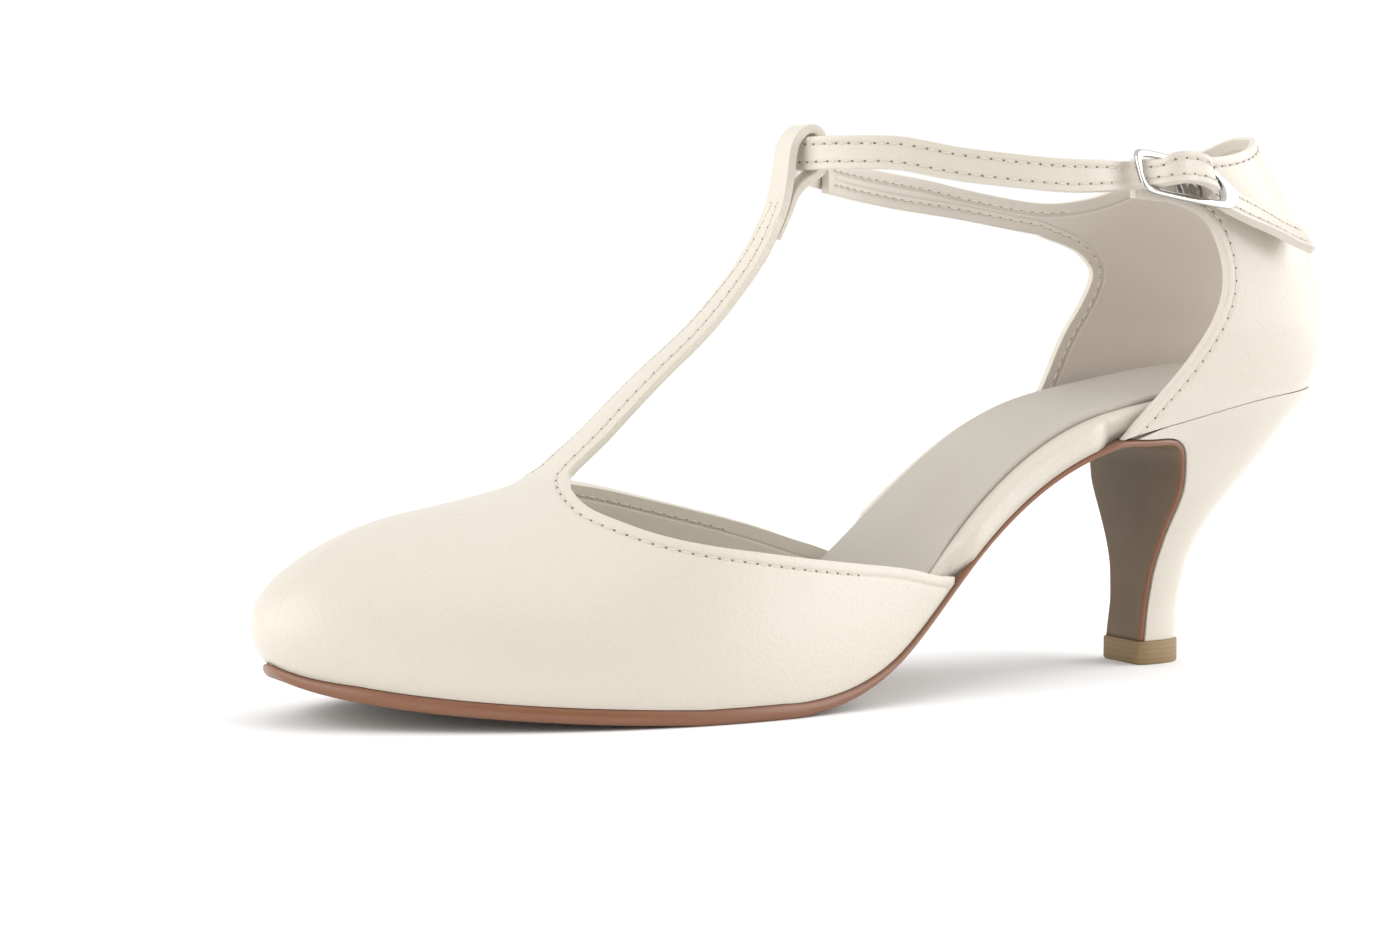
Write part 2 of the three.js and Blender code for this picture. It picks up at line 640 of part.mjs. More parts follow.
// the ear under the buckle on the outer side, the strap to its lap on the inner side
const ankle = {
  along: [0.206, 0.265, 0.325, 0.384, 0.426, 0.452, 0.473, 0.49, 0.503],
  out: [0.961, 1.004, 0.996, 0.902, 0.761, 0.635, 0.506, 0.361, 0.227]
}
const ankleOut = spline(along(ankle.along).reverse(), times(ankle.out, ankleHalfWidth).reverse())
const [earX, outerEarX, lapX] = along([0.2058, 0.244, 0.461])
for (const side of [-1, 1]) {
  const end = side < 0 ? outerEarX : lapX
  const count = side < 0 ? 4 : 20
  quarterSheet.grid(rises.filter(v => v >= earRise).map(v => {
    const row = [quarterPoint(side, v, 1)]
    const straight = quarterHalf(row[0][0], row[0][2])
    for (let i = 1; i <= count; i++) {
      const f = i / count
      const x = mix(earX, end, side < 0 ? f : f * (1.25 - 0.25 * f))
      const z = mix(lowZ[side](x), topZ[side](x), (v - earRise) / (1 - earRise))
      const half = side < 0 ? straight : mix(straight, ankleOut(x), ease(f * 2.2))
      row.push([x, side * half, z])
    }
    return row
  }), side > 0)
}
const strapStart = along([0.282])[0]
addMesh('quarter', quarterSheet.thicken(p => p[0] < strapStart ? strapThickness : quarterWall)
  .geometry(), cream, 0.42)

// ankle strap: from its lap outside the inner strap, through the loop, under the
// left bar, over the middle bar and under the end plate to the tail
const strap = {
  along: [0.437, 0.457, 0.48, 0.498, 0.511, 0.518, 0.519, 0.517, 0.508, 0.491, 0.465, 0.431,
    0.392, 0.354, 0.316, 0.282, 0.265, 0.256, 0.235, 0.226, 0.208, 0.189, 0.181, 0.176, 0.166,
    0.149, 0.129, 0.108, 0.089, 0.068, 0.055, 0.051],
  out: [0.808, 0.702, 0.569, 0.42, 0.282, 0.149, 0, -0.173, -0.337, -0.51, -0.69, -0.847, -0.973,
    -1.055, -1.09, -1.086, -1.063, -1.075, -1.259, -1.306, -1.318, -1.306, -1.227, -1.11, -1.071,
    -1.051, -1.031, -1.008, -0.976, -0.941, -0.922, -0.914],
  rise: [0.957, 0.964, 0.973, 0.983, 0.992, 0.997, 0.998, 0.998, 0.999, 0.999, 0.997, 0.982, 0.97,
    0.962, 0.957, 0.958, 0.959, 0.961, 0.968, 0.974, 0.975, 0.964, 0.953, 0.942, 0.931, 0.915,
    0.899, 0.883, 0.867, 0.85, 0.841, 0.837],
  half: [0.462, 0.5, 0.5, 0.5, 0.5, 0.5, 0.5, 0.5, 0.5, 0.5, 0.5, 0.5, 0.5, 0.5, 0.5, 0.477,
    0.438, 0.423, 0.408, 0.477, 0.477, 0.462, 0.369, 0.369, 0.4, 0.446, 0.492, 0.5, 0.5, 0.5, 0.5,
    0.462],
  lean: [0, 0, 0, 0, 0, 0, 0, 0, 0, 0, 0, 0, 0, 0, 0.05, 0.15, 0.32, 0.4, 0.33, 0.28, 0.25, 0.3,
    0.38, 0.42, 0.45, 0.5, 0.62, 0.72, 0.78, 0.8, 0.8, 0.8]
}
const strapX = along(strap.along)
const strapLine = strapX.map((x, i) =>
  [x, strap.out[i] * ankleHalfWidth, strap.rise[i] * strapHeight])
const strapSheet = new Surface()
strapSheet.grid(strapLine.map((p, i) => {
  const a = new THREE.Vector3(...strapLine[Math.max(i - 1, 0)])
  const b = new THREE.Vector3(...strapLine[Math.min(i + 1, strapLine.length - 1)])
  const t = b.sub(a).normalize()
  const up = new THREE.Vector3(0, 0, 1).addScaledVector(t, -t.z).normalize()
  up.applyAxisAngle(t, -strap.lean[i]).multiplyScalar(strap.half[i] * strapWidth)
  return [-1, 0, 1].map(f => [p[0] + up.x * f, p[1] + up.y * f, p[2] + up.z * f])
}))
addMesh('ankle_strap', strapSheet.thicken(strapThickness).geometry(), cream, 0.42)

// solids that are joined
const { Manifold, Mesh: BodyMesh } = await (async () => {
  const wasm = await Module()
  wasm.setup()
  return wasm
})()
const toBody = s => s.outward() && new Manifold(new BodyMesh({
  numProp: 3,
  vertProperties: new Float32Array(s.points.flat()),
  triVerts: new Uint32Array(s.faces.flat())
}))
function fromBody (body) {
  const m = body.getMesh()
  const g = new THREE.BufferGeometry()
  const pts = []
  for (let i = 0; i < m.vertProperties.length; i += m.numProp) {
    pts.push(...m.vertProperties.slice(i, i + 3))
  }
  g.setAttribute('position', new THREE.Float32BufferAttribute(pts, 3))
  g.setIndex([...m.triVerts])
  g.computeVertexNormals()
  return g
}

// buckle: place along, up and out from the strap, whose lower edge leans out
const buckleTilt = -0.17
const buckleLean = 0.45
const buckleSlant = -0.15
const buckleAt = [along([0.2087])[0], -1.1216 * ankleHalfWidth, 0.952 * strapHeight]
function placeOnAnkle (u, w, out) {
  const s = u + buckleSlant * w
  const x = buckleAt[0] + s * Math.cos(buckleTilt) - w * Math.sin(buckleTilt)
  const z = buckleAt[2] + s * Math.sin(buckleTilt) + w * Math.cos(buckleTilt)
  const bow = (s / 14) ** 2
  return [x, buckleAt[1] + bow + buckleLean * w - out, z]
}
// stations round the frame: along the window, up, and out to the point of the end plate
const outline = {
  along: [1, 1, 0.98, 0.91, 0.8, 0.6, 0.35, 0.1, 0.03, 0, 0, 0, 0.03, 0.1, 0.35, 0.6, 0.8, 0.95, 1, 1],
  up: [-0.2, 0.12, 0.52, 0.86, 1, 1, 1, 1, 0.86, 0.55, 0, -0.55, -0.86, -1, -1, -1, -1, -0.97,
    -0.85, -0.6],
  point: [1, 0.5, -0.4, -0.4, 0, 0, 0, 0, 0, 0, 0, 0, 0, 0, 0, 0, 0, 0, 0.1, 0.55]
}
const section = [[0.14, -1], [0, -0.4], [0, 0.4], [0.14, 1], [0.86, 1], [1, 0.4], [1, -0.4], [0.86, -1]]
const frameOut = u => 0.5 + 1.6 * (u / 13) ** 2
const windowHalf = buckleHeight / 2 - buckleBar
const frameRings = outline.along.map((a, i) => {
  const outer = [mix(-buckleReach, buckleCorner, a) + bucklePoint * outline.point[i],
    buckleHeight / 2 * outline.up[i]]
  const inner = [mix(-buckleReach + buckleBar, windowReach, a), windowHalf * outline.up[i]]
  return section.map(([f, t]) => {
    const u = mix(outer[0], inner[0], f)
    return placeOnAnkle(u, mix(outer[1], inner[1], f), frameOut(u) + frameThickness / 2 * t)
  })
})
const frameSurface = new Surface()
frameSurface.grid([...frameRings, frameRings[0]], false, true)
const barDrop = -0.3
const barWidth = 1.6
const halfFrame = buckleHeight / 2 - buckleBar / 2
const middleBar = [[-1, 0.4], [-0.68, barDrop], [0, barDrop - 0.2], [0.68, barDrop], [1, 0.4]]
const middleRings = middleBar.map(([f, out]) => {
  const ring = []
  for (let k = 0; k < 8; k++) {
    const a = Math.PI / 4 * (k + 0.5)
    ring.push(placeOnAnkle(0.5 + barWidth / 2 * Math.cos(a), halfFrame * f,
      out + buckleBar / 2 * Math.sin(a)))
  }
  return ring
})
const frame = toBody(frameSurface).add(toBody(loft(middleRings)))
addMesh('buckle_frame', fromBody(frame), '#c9ccd0', 0.18, 1)

// plate with its round snap in the window under the strap
const plateLength = 7.0
const plateHeight = 6.0
const plateThickness = 0.7
const snapRadius = 1.9
const snapHeight = 1.1
const plateAt = [3.2, -0.8]
const plateOut = -2.5
const roundRing = (halfU, halfW, power, at, out) => {
  const ring = []
  for (let k = 0; k < 16; k++) {
    const a = Math.PI * 2 * k / 16
    const c = Math.sign(Math.cos(a)) * Math.abs(Math.cos(a)) ** power
    const s = Math.sign(Math.sin(a)) * Math.abs(Math.sin(a)) ** power
    ring.push(placeOnAnkle(at[0] + c * halfU, at[1] + s * halfW, out))
  }
  return ring
}
const plate = toBody(loft([0, plateThickness].map(h =>
  roundRing(plateLength / 2, plateHeight / 2, 0.6, plateAt, plateOut + h)), true))
const snapAt = [plateAt[0] + 0.6, plateAt[1] - 0.6]
const snapSteps = [[plateThickness / 2, 1], [snapHeight, 1], [snapHeight + 0.4, 0.65]]
const snap = toBody(loft(snapSteps.map(([h, r]) =>
  roundRing(snapRadius * r, snapRadius * r, 1, snapAt, plateOut + h))))
addMesh('buckle_plate', fromBody(plate.add(snap)), '#8d8f92', 0.3, 1)

export default group
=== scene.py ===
# T strap shoe for the left foot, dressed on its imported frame. Lengths are in
# millimetres until a mesh is stored; toe towards -X, buckle side towards -Y.
import math
import bpy
import bmesh
from mathutils import Matrix, Quaternion, Vector
from mathutils.bvhtree import BVHTree
from mathutils.kdtree import KDTree


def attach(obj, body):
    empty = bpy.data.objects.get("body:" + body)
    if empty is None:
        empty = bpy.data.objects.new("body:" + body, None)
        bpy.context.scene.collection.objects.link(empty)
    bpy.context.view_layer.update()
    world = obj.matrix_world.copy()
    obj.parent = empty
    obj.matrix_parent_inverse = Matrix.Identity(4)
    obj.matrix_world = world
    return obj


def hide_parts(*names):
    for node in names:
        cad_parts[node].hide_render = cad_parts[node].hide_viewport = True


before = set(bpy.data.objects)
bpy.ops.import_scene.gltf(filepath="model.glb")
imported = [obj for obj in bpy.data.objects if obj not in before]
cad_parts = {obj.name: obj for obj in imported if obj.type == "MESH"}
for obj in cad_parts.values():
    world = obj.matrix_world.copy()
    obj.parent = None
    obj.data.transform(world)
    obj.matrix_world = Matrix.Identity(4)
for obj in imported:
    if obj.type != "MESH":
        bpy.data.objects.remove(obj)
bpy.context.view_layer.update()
mm = 0.001
print("frame loaded:", len(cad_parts), "solids")

cameraSetup = {
    "turn": 0.4740451123184064,     # round the shoe from its outer side, radians
    "rise": 0.07581171215846785,    # above the floor, radians
    "distance": 638.1857642723373,
    "focal": 3199.94,               # in pixels of a frame of this width
    "frameWidth": 1400,
    "sensor": 36,
    "centre": (-108.14888, 0.0, 45.45198),
}


def makeCamera(setup):
    turn, rise = setup["turn"], setup["rise"]
    back = Vector((-math.sin(turn) * math.cos(rise), -math.cos(turn) * math.cos(rise), math.sin(rise)))
    right = Vector((math.cos(turn), -math.sin(turn), 0))
    up = back.cross(right)
    data = bpy.data.cameras.new("camera")
    data.sensor_width = setup["sensor"]
    data.lens = setup["focal"] * setup["sensor"] / setup["frameWidth"]
    data.clip_start, data.clip_end = 0.05, 20
    camera = bpy.data.objects.new("camera", data)
    bpy.context.collection.objects.link(camera)
    turned = Matrix((right, up, back)).transposed().to_4x4()
    place = (Vector(setup["centre"]) + back * setup["distance"]) * mm
    camera.matrix_world = Matrix.Translation(place) @ turned
    bpy.context.scene.camera = camera


makeCamera(cameraSetup)


def mix(a, b, f):
    return a + (b - a) * f


def clamp(value, low=0.0, high=1.0):
    return min(max(value, low), high)


def ease(f):
    g = clamp(f)
    return g * g * (3 - 2 * g)


def curve(xs, ys):
    # smooth line through a table, held at both ends
    if xs[0] > xs[-1]:
        xs, ys = xs[::-1], ys[::-1]
    n = len(xs)
    m, u = [0.0] * n, [0.0] * n
    for i in range(1, n - 1):
        sig = (xs[i] - xs[i - 1]) / (xs[i + 1] - xs[i - 1])
        p = sig * m[i - 1] + 2
        m[i] = (sig - 1) / p
        d = (ys[i + 1] - ys[i]) / (xs[i + 1] - xs[i]) - (ys[i] - ys[i - 1]) / (xs[i] - xs[i - 1])
        u[i] = (6 * d / (xs[i + 1] - xs[i - 1]) - sig * u[i - 1]) / p
    for i in range(n - 2, -1, -1):
        m[i] = m[i] * m[i + 1] + u[i]

    def at(x):
        q = clamp(x, xs[0], xs[-1])
        k = 0
        while k < n - 2 and q > xs[k + 1]:
            k += 1
        h = xs[k + 1] - xs[k]
        a = (xs[k + 1] - q) / h
        b = 1 - a
        return a * ys[k] + b * ys[k + 1] + ((a ** 3 - a) * m[k] + (b ** 3 - b) * m[k + 1]) * h * h / 6
    return at


def lines(xs, ys):
    # straight lines through a table
    def at(x):
        low, high = 0, len(xs) - 2
        while low < high:
            mid = (low + high + 1) // 2
            if xs[mid] <= x:
                low = mid
            else:
                high = mid - 1
        f = clamp((x - xs[low]) / (xs[low + 1] - xs[low]))
        return mix(ys[low], ys[low + 1], f)
    return at


def chordLengths(points):
    out = [0.0]
    for a, b in zip(points, points[1:]):
        out.append(out[-1] + (b - a).length)
    return out


weldGap = 0.02      # points nearer than this become one


def rowsToSheet(bm, rows, closed=False, layers=None):
    # lays a grid of quads over rows of points; a closed one joins its last column to its first
    if closed:
        rows = [row + [row[0]] for row in rows]
    countX, countY = len(rows) - 1, len(rows[0]) - 1
    made = bmesh.ops.create_grid(bm, x_segments=countX, y_segments=countY, size=1)["verts"]
    for vert in made:
        i = round((vert.co.x + 1) / 2 * countX)
        j = round((vert.co.y + 1) / 2 * countY)
        vert.co = Vector(rows[i][j]) * mm
        if layers:
            for layer, rule in layers:
                vert[layer] = rule(i, j)


def joinSheets(bm, centre=None):
    # merges equal points, then turns the faces away from a centre
    bmesh.ops.remove_doubles(bm, verts=bm.verts, dist=weldGap * mm)
    bmesh.ops.dissolve_degenerate(bm, edges=bm.edges, dist=0.001 * mm)
    bmesh.ops.recalc_face_normals(bm, faces=bm.faces)
    if centre is not None:
        middle = Vector(centre) * mm
        lean = sum((f.calc_center_median() - middle).dot(f.normal) * f.calc_area() for f in bm.faces)
        if lean < 0:
            bmesh.ops.reverse_faces(bm, faces=bm.faces)


def capSheets(bm):
    # closes the open ends of sheets, then joins them
    bmesh.ops.remove_doubles(bm, verts=bm.verts, dist=weldGap * mm)
    bmesh.ops.holes_fill(bm, edges=[e for e in bm.edges if e.is_boundary], sides=0)
    joinSheets(bm)


def placeMesh(bm, name, materials):
    mesh = bpy.data.meshes.new(name)
    bm.to_mesh(mesh)
    bm.free()
    for material in materials:
        mesh.materials.append(material)
    placed = bpy.data.objects.new(name, mesh)
    bpy.context.collection.objects.link(placed)
    return placed


def finishPiece(bm, name, materials, nodes, wall=None, wallGroup=None, edgeWidth=None,
                edgeAngle=35, smooth=None):
    for face in bm.faces:
        face.smooth = True
    shares = []
    if wallGroup:
        layer = bm.verts.layers.float[wallGroup]
        shares = [v[layer] for v in bm.verts]
    piece = placeMesh(bm, name, materials)
    if shares:
        group = piece.vertex_groups.new(name=wallGroup)
        for index, value in enumerate(shares):
            group.add([index], value, "REPLACE")
    if wall:
        solid = piece.modifiers.new("wall", "SOLIDIFY")
        solid.thickness = wall * mm
        solid.offset = -1
        solid.material_offset = len(materials) - 1
        solid.material_offset_rim = 0
        if wallGroup:
            solid.vertex_group = wallGroup
    if edgeWidth:
        bevel = piece.modifiers.new("edges", "BEVEL")
        bevel.width = edgeWidth * mm
        bevel.segments = 3
        bevel.limit_method = "ANGLE"
        bevel.angle_limit = math.radians(edgeAngle)
        bevel.profile = 0.5
        bevel.material = -1
    if smooth:
        level = piece.modifiers.new("smooth", "SUBSURF")
        level.levels = level.render_levels = smooth
    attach(piece, "root")
    if nodes:
        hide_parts(*nodes)


def distanceTo(lists):
    # distance in millimetres to the nearest of some lines of points
    points = [p for line in lists for p in line]
    tree = KDTree(len(points))
    for i, p in enumerate(points):
        tree.insert(p, i)
    tree.balance()
    return lambda p: tree.find(p)[2]


edgeStep = 0.35     # between the points of an edge that distances and stitches start from


def resample(points, step=edgeStep):
    lengths = chordLengths(points)
    count = max(int(lengths[-1] / step), 1)
    out, k = [], 0
    for i in range(count + 1):
        s = lengths[-1] * i / count
        while k < len(points) - 2 and lengths[k + 1] < s:
            k += 1
        span = lengths[k + 1] - lengths[k]
        out.append(points[k].lerp(points[k + 1], clamp((s - lengths[k]) / span if span else 0)))
    return out


class Wire:
    # one value in a material, with the operators that its shading uses
    def __init__(self, finish, socket):
        self.finish, self.socket = finish, socket

    def __add__(self, other):
        return self.finish.maths("ADD", self, other)

    def __sub__(self, other):
        return self.finish.maths("SUBTRACT", self, other)

    def __rsub__(self, other):
        return self.finish.maths("SUBTRACT", other, self)

    def __mul__(self, other):
        return self.finish.maths("MULTIPLY", self, other)

    def __truediv__(self, other):
        return self.finish.maths("DIVIDE", self, other)

    def __pow__(self, other):
        return self.finish.maths("POWER", self, other)

    def __neg__(self):
        return self.finish.maths("MULTIPLY", self, -1.0)

    __radd__ = __add__
    __rmul__ = __mul__


class Finish:
    def __init__(self, name):
        self.material = bpy.data.materials.new(name)
        self.material.use_nodes = True
        self.tree = self.material.node_tree
        self.tree.nodes.clear()

    def add(self, kind, settings=None, inputs=None, output=0):
        node = self.tree.nodes.new(kind)
        for key, value in (settings or {}).items():
            if key == "stops":
                while len(node.color_ramp.elements) < len(value):
                    node.color_ramp.elements.new(0.5)
                for element, (place, colour) in zip(node.color_ramp.elements, value):
                    element.position, element.color = place, colour
            else:
                setattr(node, key, value)
        for key, value in (inputs or {}).items():
            if isinstance(value, Wire):
                self.tree.links.new(value.socket, node.inputs[key])
            else:
                node.inputs[key].default_value = value
        return Wire(self, node.outputs[output])

    def reading(self, name):
        return self.add("ShaderNodeAttribute", {"attribute_name": name}, output=2)

    def maths(self, operation, first, second=0.0):
        return self.add("ShaderNodeMath", {"operation": operation}, {0: first, 1: second})

    def hill(self, value, middle, width):
        # a soft bump of height one round a value
        return self.maths("EXPONENT", -(((value - middle) / width) ** 2.0))

    def colours(self, factor, first, second, mode="MIX"):
        return self.add("ShaderNodeMix", {"data_type": "RGBA", "blend_type": mode},
                        {0: factor, 6: first, 7: second}, 2)

    def places(self, scale=(1, 1, 1)):
        spot = self.add("ShaderNodeTexCoord", output=3)
        return self.add("ShaderNodeMapping", None, {0: spot, 3: scale})

    def noise(self, spot, scale, detail=3.0, rough=0.5):
        return self.add("ShaderNodeTexNoise", None,
                        {"Vector": spot, "Scale": scale, "Detail": detail, "Roughness": rough})

    def surface(self, height=None, strength=1.0, **inputs):
        named = {key.replace("_", " "): value for key, value in inputs.items()}
        if height is not None:
            # height comes in millimetres
            named["Normal"] = self.add("ShaderNodeBump", None,
                                       {"Strength": strength, "Distance": mm, "Height": height})
        shader = self.add("ShaderNodeBsdfPrincipled", None, named)
        out = self.tree.nodes.new("ShaderNodeOutputMaterial")
        self.tree.links.new(shader.socket, out.inputs[0])
        return self.material


def paint(red, green, blue):
    # a screen colour as light
    def light(v):
        v = v / 255
        return v / 12.92 if v <= 0.04045 else ((v + 0.055) / 1.055) ** 2.4
    return (light(red), light(green), light(blue), 1.0)


leatherLook = {
    "colour": paint(205, 198, 186),
    "deep": paint(196, 184, 164),
    "roughness": 0.36,
    "coat": 0.22,
    "coatRoughness": 0.3,
    "grainSize": 0.75,      # millimetres across one pebble
    "grainHeight": 0.07,
    "lipHeight": 0.16,      # swell between the edge and the seam
    "seamInset": 2.3,
    "seamDepth": 0.12,
}


def makeLeather(name, look, lip=True):
    f = Finish(name)
    spot = f.places()
    warp = f.noise(spot, 900.0, 2.0)
    cells = f.add("ShaderNodeTexVoronoi", {"feature": "SMOOTH_F1"},
                  {"Vector": spot, "Scale": 1000.0 / look["grainSize"], "Smoothness": 0.6,
                   "Randomness": 1.0})
    pebble = 1.0 - cells
    height = pebble * look["grainHeight"] + warp * (look["grainHeight"] * 0.8)
    broad = f.noise(spot, 42.0, 2.0)
    height = height + broad * 0.16
    if lip:
        edge = f.reading("edge")
        swell = f.hill(edge, look["seamInset"] * 0.48, look["seamInset"] * 0.42)
        seam = f.hill(edge, look["seamInset"], 0.42)
        height = height + swell * look["lipHeight"] - seam * look["seamDepth"]
    tint = f.noise(spot, 26.0, 3.0)
    # painted shade: the valleys between the pebbles are mixed towards the deep colour
    valleyShade = f.add("ShaderNodeValToRGB", {"stops": [(0.25, (0, 0, 0, 1)), (0.75, (1, 1, 1, 1))]},
                   {0: cells})
    base = f.colours(tint * 0.35, look["colour"], look["deep"])
    base = f.colours(valleyShade * 0.16, base, look["deep"])
    # painted shade: the seam's groove is mixed towards the deep colour
    if lip:
        base = f.colours(seam * 0.22, base, look["deep"])
    rough = look["roughness"] + (tint - 0.5) * 0.12 + cells * 0.06
    return f.surface(height, 0.9, Base_Color=base, Roughness=rough, Coat_Weight=look["coat"],
                     Coat_Roughness=look["coatRoughness"], Sheen_Weight=0.12, Sheen_Roughness=0.4,
                     Specular_IOR_Level=0.5)


liningLook = {
    "colour": paint(206, 198, 187),
    "deep": paint(190, 180, 167),
    "roughness": 0.6,
    "bandInset": 2.9,
}


def makeLining(name, look, band=True):
    f = Finish(name)
    spot = f.places()
    fine = f.noise(spot, 1500.0, 3.0, 0.6)
    cloud = f.noise(spot, 60.0, 3.0)
    height = fine * 0.03 + cloud * 0.1
    base = f.colours(cloud * 0.5, look["colour"], look["deep"])
    if band:
        edge = f.reading("edge")
        groove = f.hill(edge, look["bandInset"], 0.3)
        height = height - groove * 0.14
        # painted shade: the groove of the stitched band is mixed towards the deep colour
        base = f.colours(groove * 0.25, base, look["deep"])
    return f.surface(height, 0.8, Base_Color=base, Roughness=look["roughness"] + fine * 0.08,
                     Sheen_Weight=0.1, Specular_IOR_Level=0.4)


soleLook = {
    "edge": paint(132, 86, 58),
    "edgeDeep": paint(92, 56, 36),
    "under": paint(116, 97, 72),
    "underDeep": paint(92, 74, 52),
}


def makeSole(look):
    f = Finish("soleLeather")
    spot = f.places()
    rim = f.reading("rim")
    layer = f.reading("layer")
    streak = f.noise(f.places((0.35, 0.35, 3.5)), 420.0, 4.0, 0.6)
    patch = f.noise(spot, 70.0, 3.0)
    fine = f.noise(spot, 1300.0, 3.0, 0.6)
    # painted shade: the top of the sole's edge, under the upper's feather line, is mixed towards the dark
    # edge colour; the streaks are the edge's own tone
    featherShade = f.hill(layer, 1.0, 0.22)
    edgeTone = f.colours(streak * 0.45 + featherShade * 0.5, look["edge"], look["edgeDeep"])
    underTone = f.colours(patch * 0.7 + fine * 0.2, look["under"], look["underDeep"])
    base = f.colours(rim, underTone, edgeTone)
    height = streak * 0.05 + fine * 0.03
    return f.surface(height, 0.8, Base_Color=base, Roughness=0.5 - rim * 0.12 + fine * 0.1,
                     Coat_Weight=rim * 0.3, Coat_Roughness=0.25)


tipLook = {"colour": paint(156, 132, 96), "deep": paint(124, 102, 70), "layerHeight": 1.1}


def makeTip(look):
    f = Finish("tipRubber")
    spot = f.places()
    height = f.add("ShaderNodeSeparateXYZ", None, {0: spot}, 2)
    wobble = f.noise(spot, 160.0, 2.0)
    band = f.maths("SINE", height * (2000 * math.pi / look["layerHeight"]) + wobble * 3.0)
    fine = f.noise(spot, 1600.0, 3.0, 0.65)
    base = f.colours(0.35 + band * 0.1 + fine * 0.3, look["colour"], look["deep"])
    return f.surface(band * 0.012 + fine * 0.05, 0.8, Base_Color=base, Roughness=0.62 + fine * 0.12)


metalLook = {"colour": (0.56, 0.55, 0.53, 1), "dull": (0.42, 0.41, 0.40, 1), "roughness": 0.12}


def makeMetal(name, look, rough=None):
    f = Finish(name)
    rub = f.noise(f.places((1, 1, 6)), 500.0, 4.0, 0.6)
    base = f.colours(rub * 0.5, look["colour"], look["dull"])
    return f.surface(rub * 0.006, 0.6, Base_Color=base, Metallic=1.0,
                     Roughness=(rough or look["roughness"]) + rub * 0.1)


# the hole colour is painted shade for the needle holes
threadLook = {"colour": paint(216, 207, 192), "deep": paint(200, 189, 170), "holeShade": paint(70, 60, 48)}


def makeThread(look):
    f = Finish("thread")
    twist = f.noise(f.places(), 2600.0, 2.0)
    return f.surface(twist * 0.04, 0.8, Base_Color=f.colours(twist, look["colour"], look["deep"]),
                     Roughness=0.6 + twist * 0.1)


# painted shade: a dark disc stands for the shadow inside a needle hole
def makeHoleShade(look):
    f = Finish("stitchHoleShade")
    shade = f.noise(f.places(), 1500.0, 2.0)
    return f.surface(Base_Color=f.colours(shade * 0.5, look["holeShade"], look["deep"]), Roughness=0.8)


leather = makeLeather("pearlLeather", leatherLook)
heelLeather = makeLeather("heelLeather", dict(leatherLook, roughness=0.33, coat=0.4, grainHeight=0.035),
                          lip=False)
boardLeather = makeLeather("boardLeather", dict(leatherLook, roughness=0.4), lip=False)
lining = makeLining("liningLeather", liningLook)
# painted light: the vamp's lining is lighter than the lining to make up for the shade inside the toe
litVampLining = makeLining("litVampLining", dict(liningLook, colour=paint(234, 227, 215),
                                           deep=paint(216, 206, 190)))
# painted shade: the sock is darker than the lining to stand for the shade inside the shoe
shadedSockLeather = makeLining("shadedSockLeather", dict(liningLook, colour=paint(182, 175, 164),
                                             deep=paint(164, 156, 143)), band=False)
soleLeather = makeSole(soleLook)
tipRubber = makeTip(tipLook)
metal = makeMetal("polishedMetal", metalLook)
darkMetal = makeMetal("plateMetal", metalLook, 0.25)
thread = makeThread(threadLook)
holeShade = makeHoleShade(threadLook)
print("materials made")

soleSizes = {
    "length": 235.7, "heelBack": 36.5, "fitGap": 0.05,
    "share": [0, .05, .1, .2, .3, .4, .5, .6, .7, .8, .9, .96, 1],
    "outer": [0, 18.2, 21.7, 23.4, 23.0, 25.6, 32.9, 38.4, 39.0, 34.3, 24.0, 14.8, 0],
    "inner": [0, 18.0, 22.0, 23.4, 21.5, 20.2, 24.2, 32.4, 37.4, 35.8, 26.6, 17.0, 0],
    "under": [57.7, 56.5, 55.2, 50.5, 43.4, 27.2, 7.6, 0.15, 0.1, 1.5, 3.7, 6.1, 10.5],
    "thickness": [1.5, 1.5, 1.8, 3.0, 3.0, 2.1],
    "thicknessAt": [0, .3, .5, .62, .95, 1],
    "flap": 1.3, "flapLead": 3.9, "featherInset": 0.8,
}
heelSizes = {
    "backX": [6.4, 6.5, 6.9, 8.0, 9.0, 11.1, 13.4, 16.5, 20.6, 25.3, 28.4, 31.5, 34.0, 35.6, 36.5],
    "backZ": [5.05, 10, 14, 19, 23, 27.5, 31.5, 36, 41, 45.5, 49, 52.3, 55.0, 57.0, 59.1],
    "foreX": [-4.9, -4.4, -4.0, -3.6, -3.3, -3.0, -2.8, -2.5, -2.3, -2.3, -2.7, -4.4, -8.4, -13.6, -18.2],
    "foreZ": [5.05, 9.6, 13, 17.5, 21, 25, 29, 33.5, 38, 42.0, 45.0, 47.6, 49.3, 49.4, 49.5],
    "half": [6.7, 6.6, 6.65, 7.3, 8.1, 9.7, 11.7, 14.4, 16.7, 17.4, 18.0, 19.4, 21.3, 22.3, 22.8],
    "power": [2.3, 2.3, 2.3, 2.3, 2.35, 2.4, 2.45, 2.5, 2.6, 2.7, 2.8, 2.9, 3, 3, 3],
    "seatRing": 10, "bendReach": 5, "tipHeight": 5.0, "tipDepth": 13.2, "tipWidth": 14.2,
}
fitGap = soleSizes["fitGap"]
heelBack = soleSizes["heelBack"]
length = soleSizes["length"]
toeX = heelBack - length


def shareAngle(share):
    return math.acos(1 - 2 * clamp(share)) / math.pi


def shareAt(x):
    return (heelBack - x) / length


soleKnots = [shareAngle(s) for s in soleSizes["share"]]
outerCurve = curve(soleKnots, soleSizes["outer"])
innerCurve = curve(soleKnots, soleSizes["inner"])
underCurve = curve(soleKnots, soleSizes["under"])
soleThickness = lines(soleSizes["thicknessAt"], soleSizes["thickness"])


def underHeight(x):
    return max(underCurve(shareAngle(shareAt(x))), 0)


def soleTop(x):
    return underHeight(x) + soleThickness(shareAt(x))


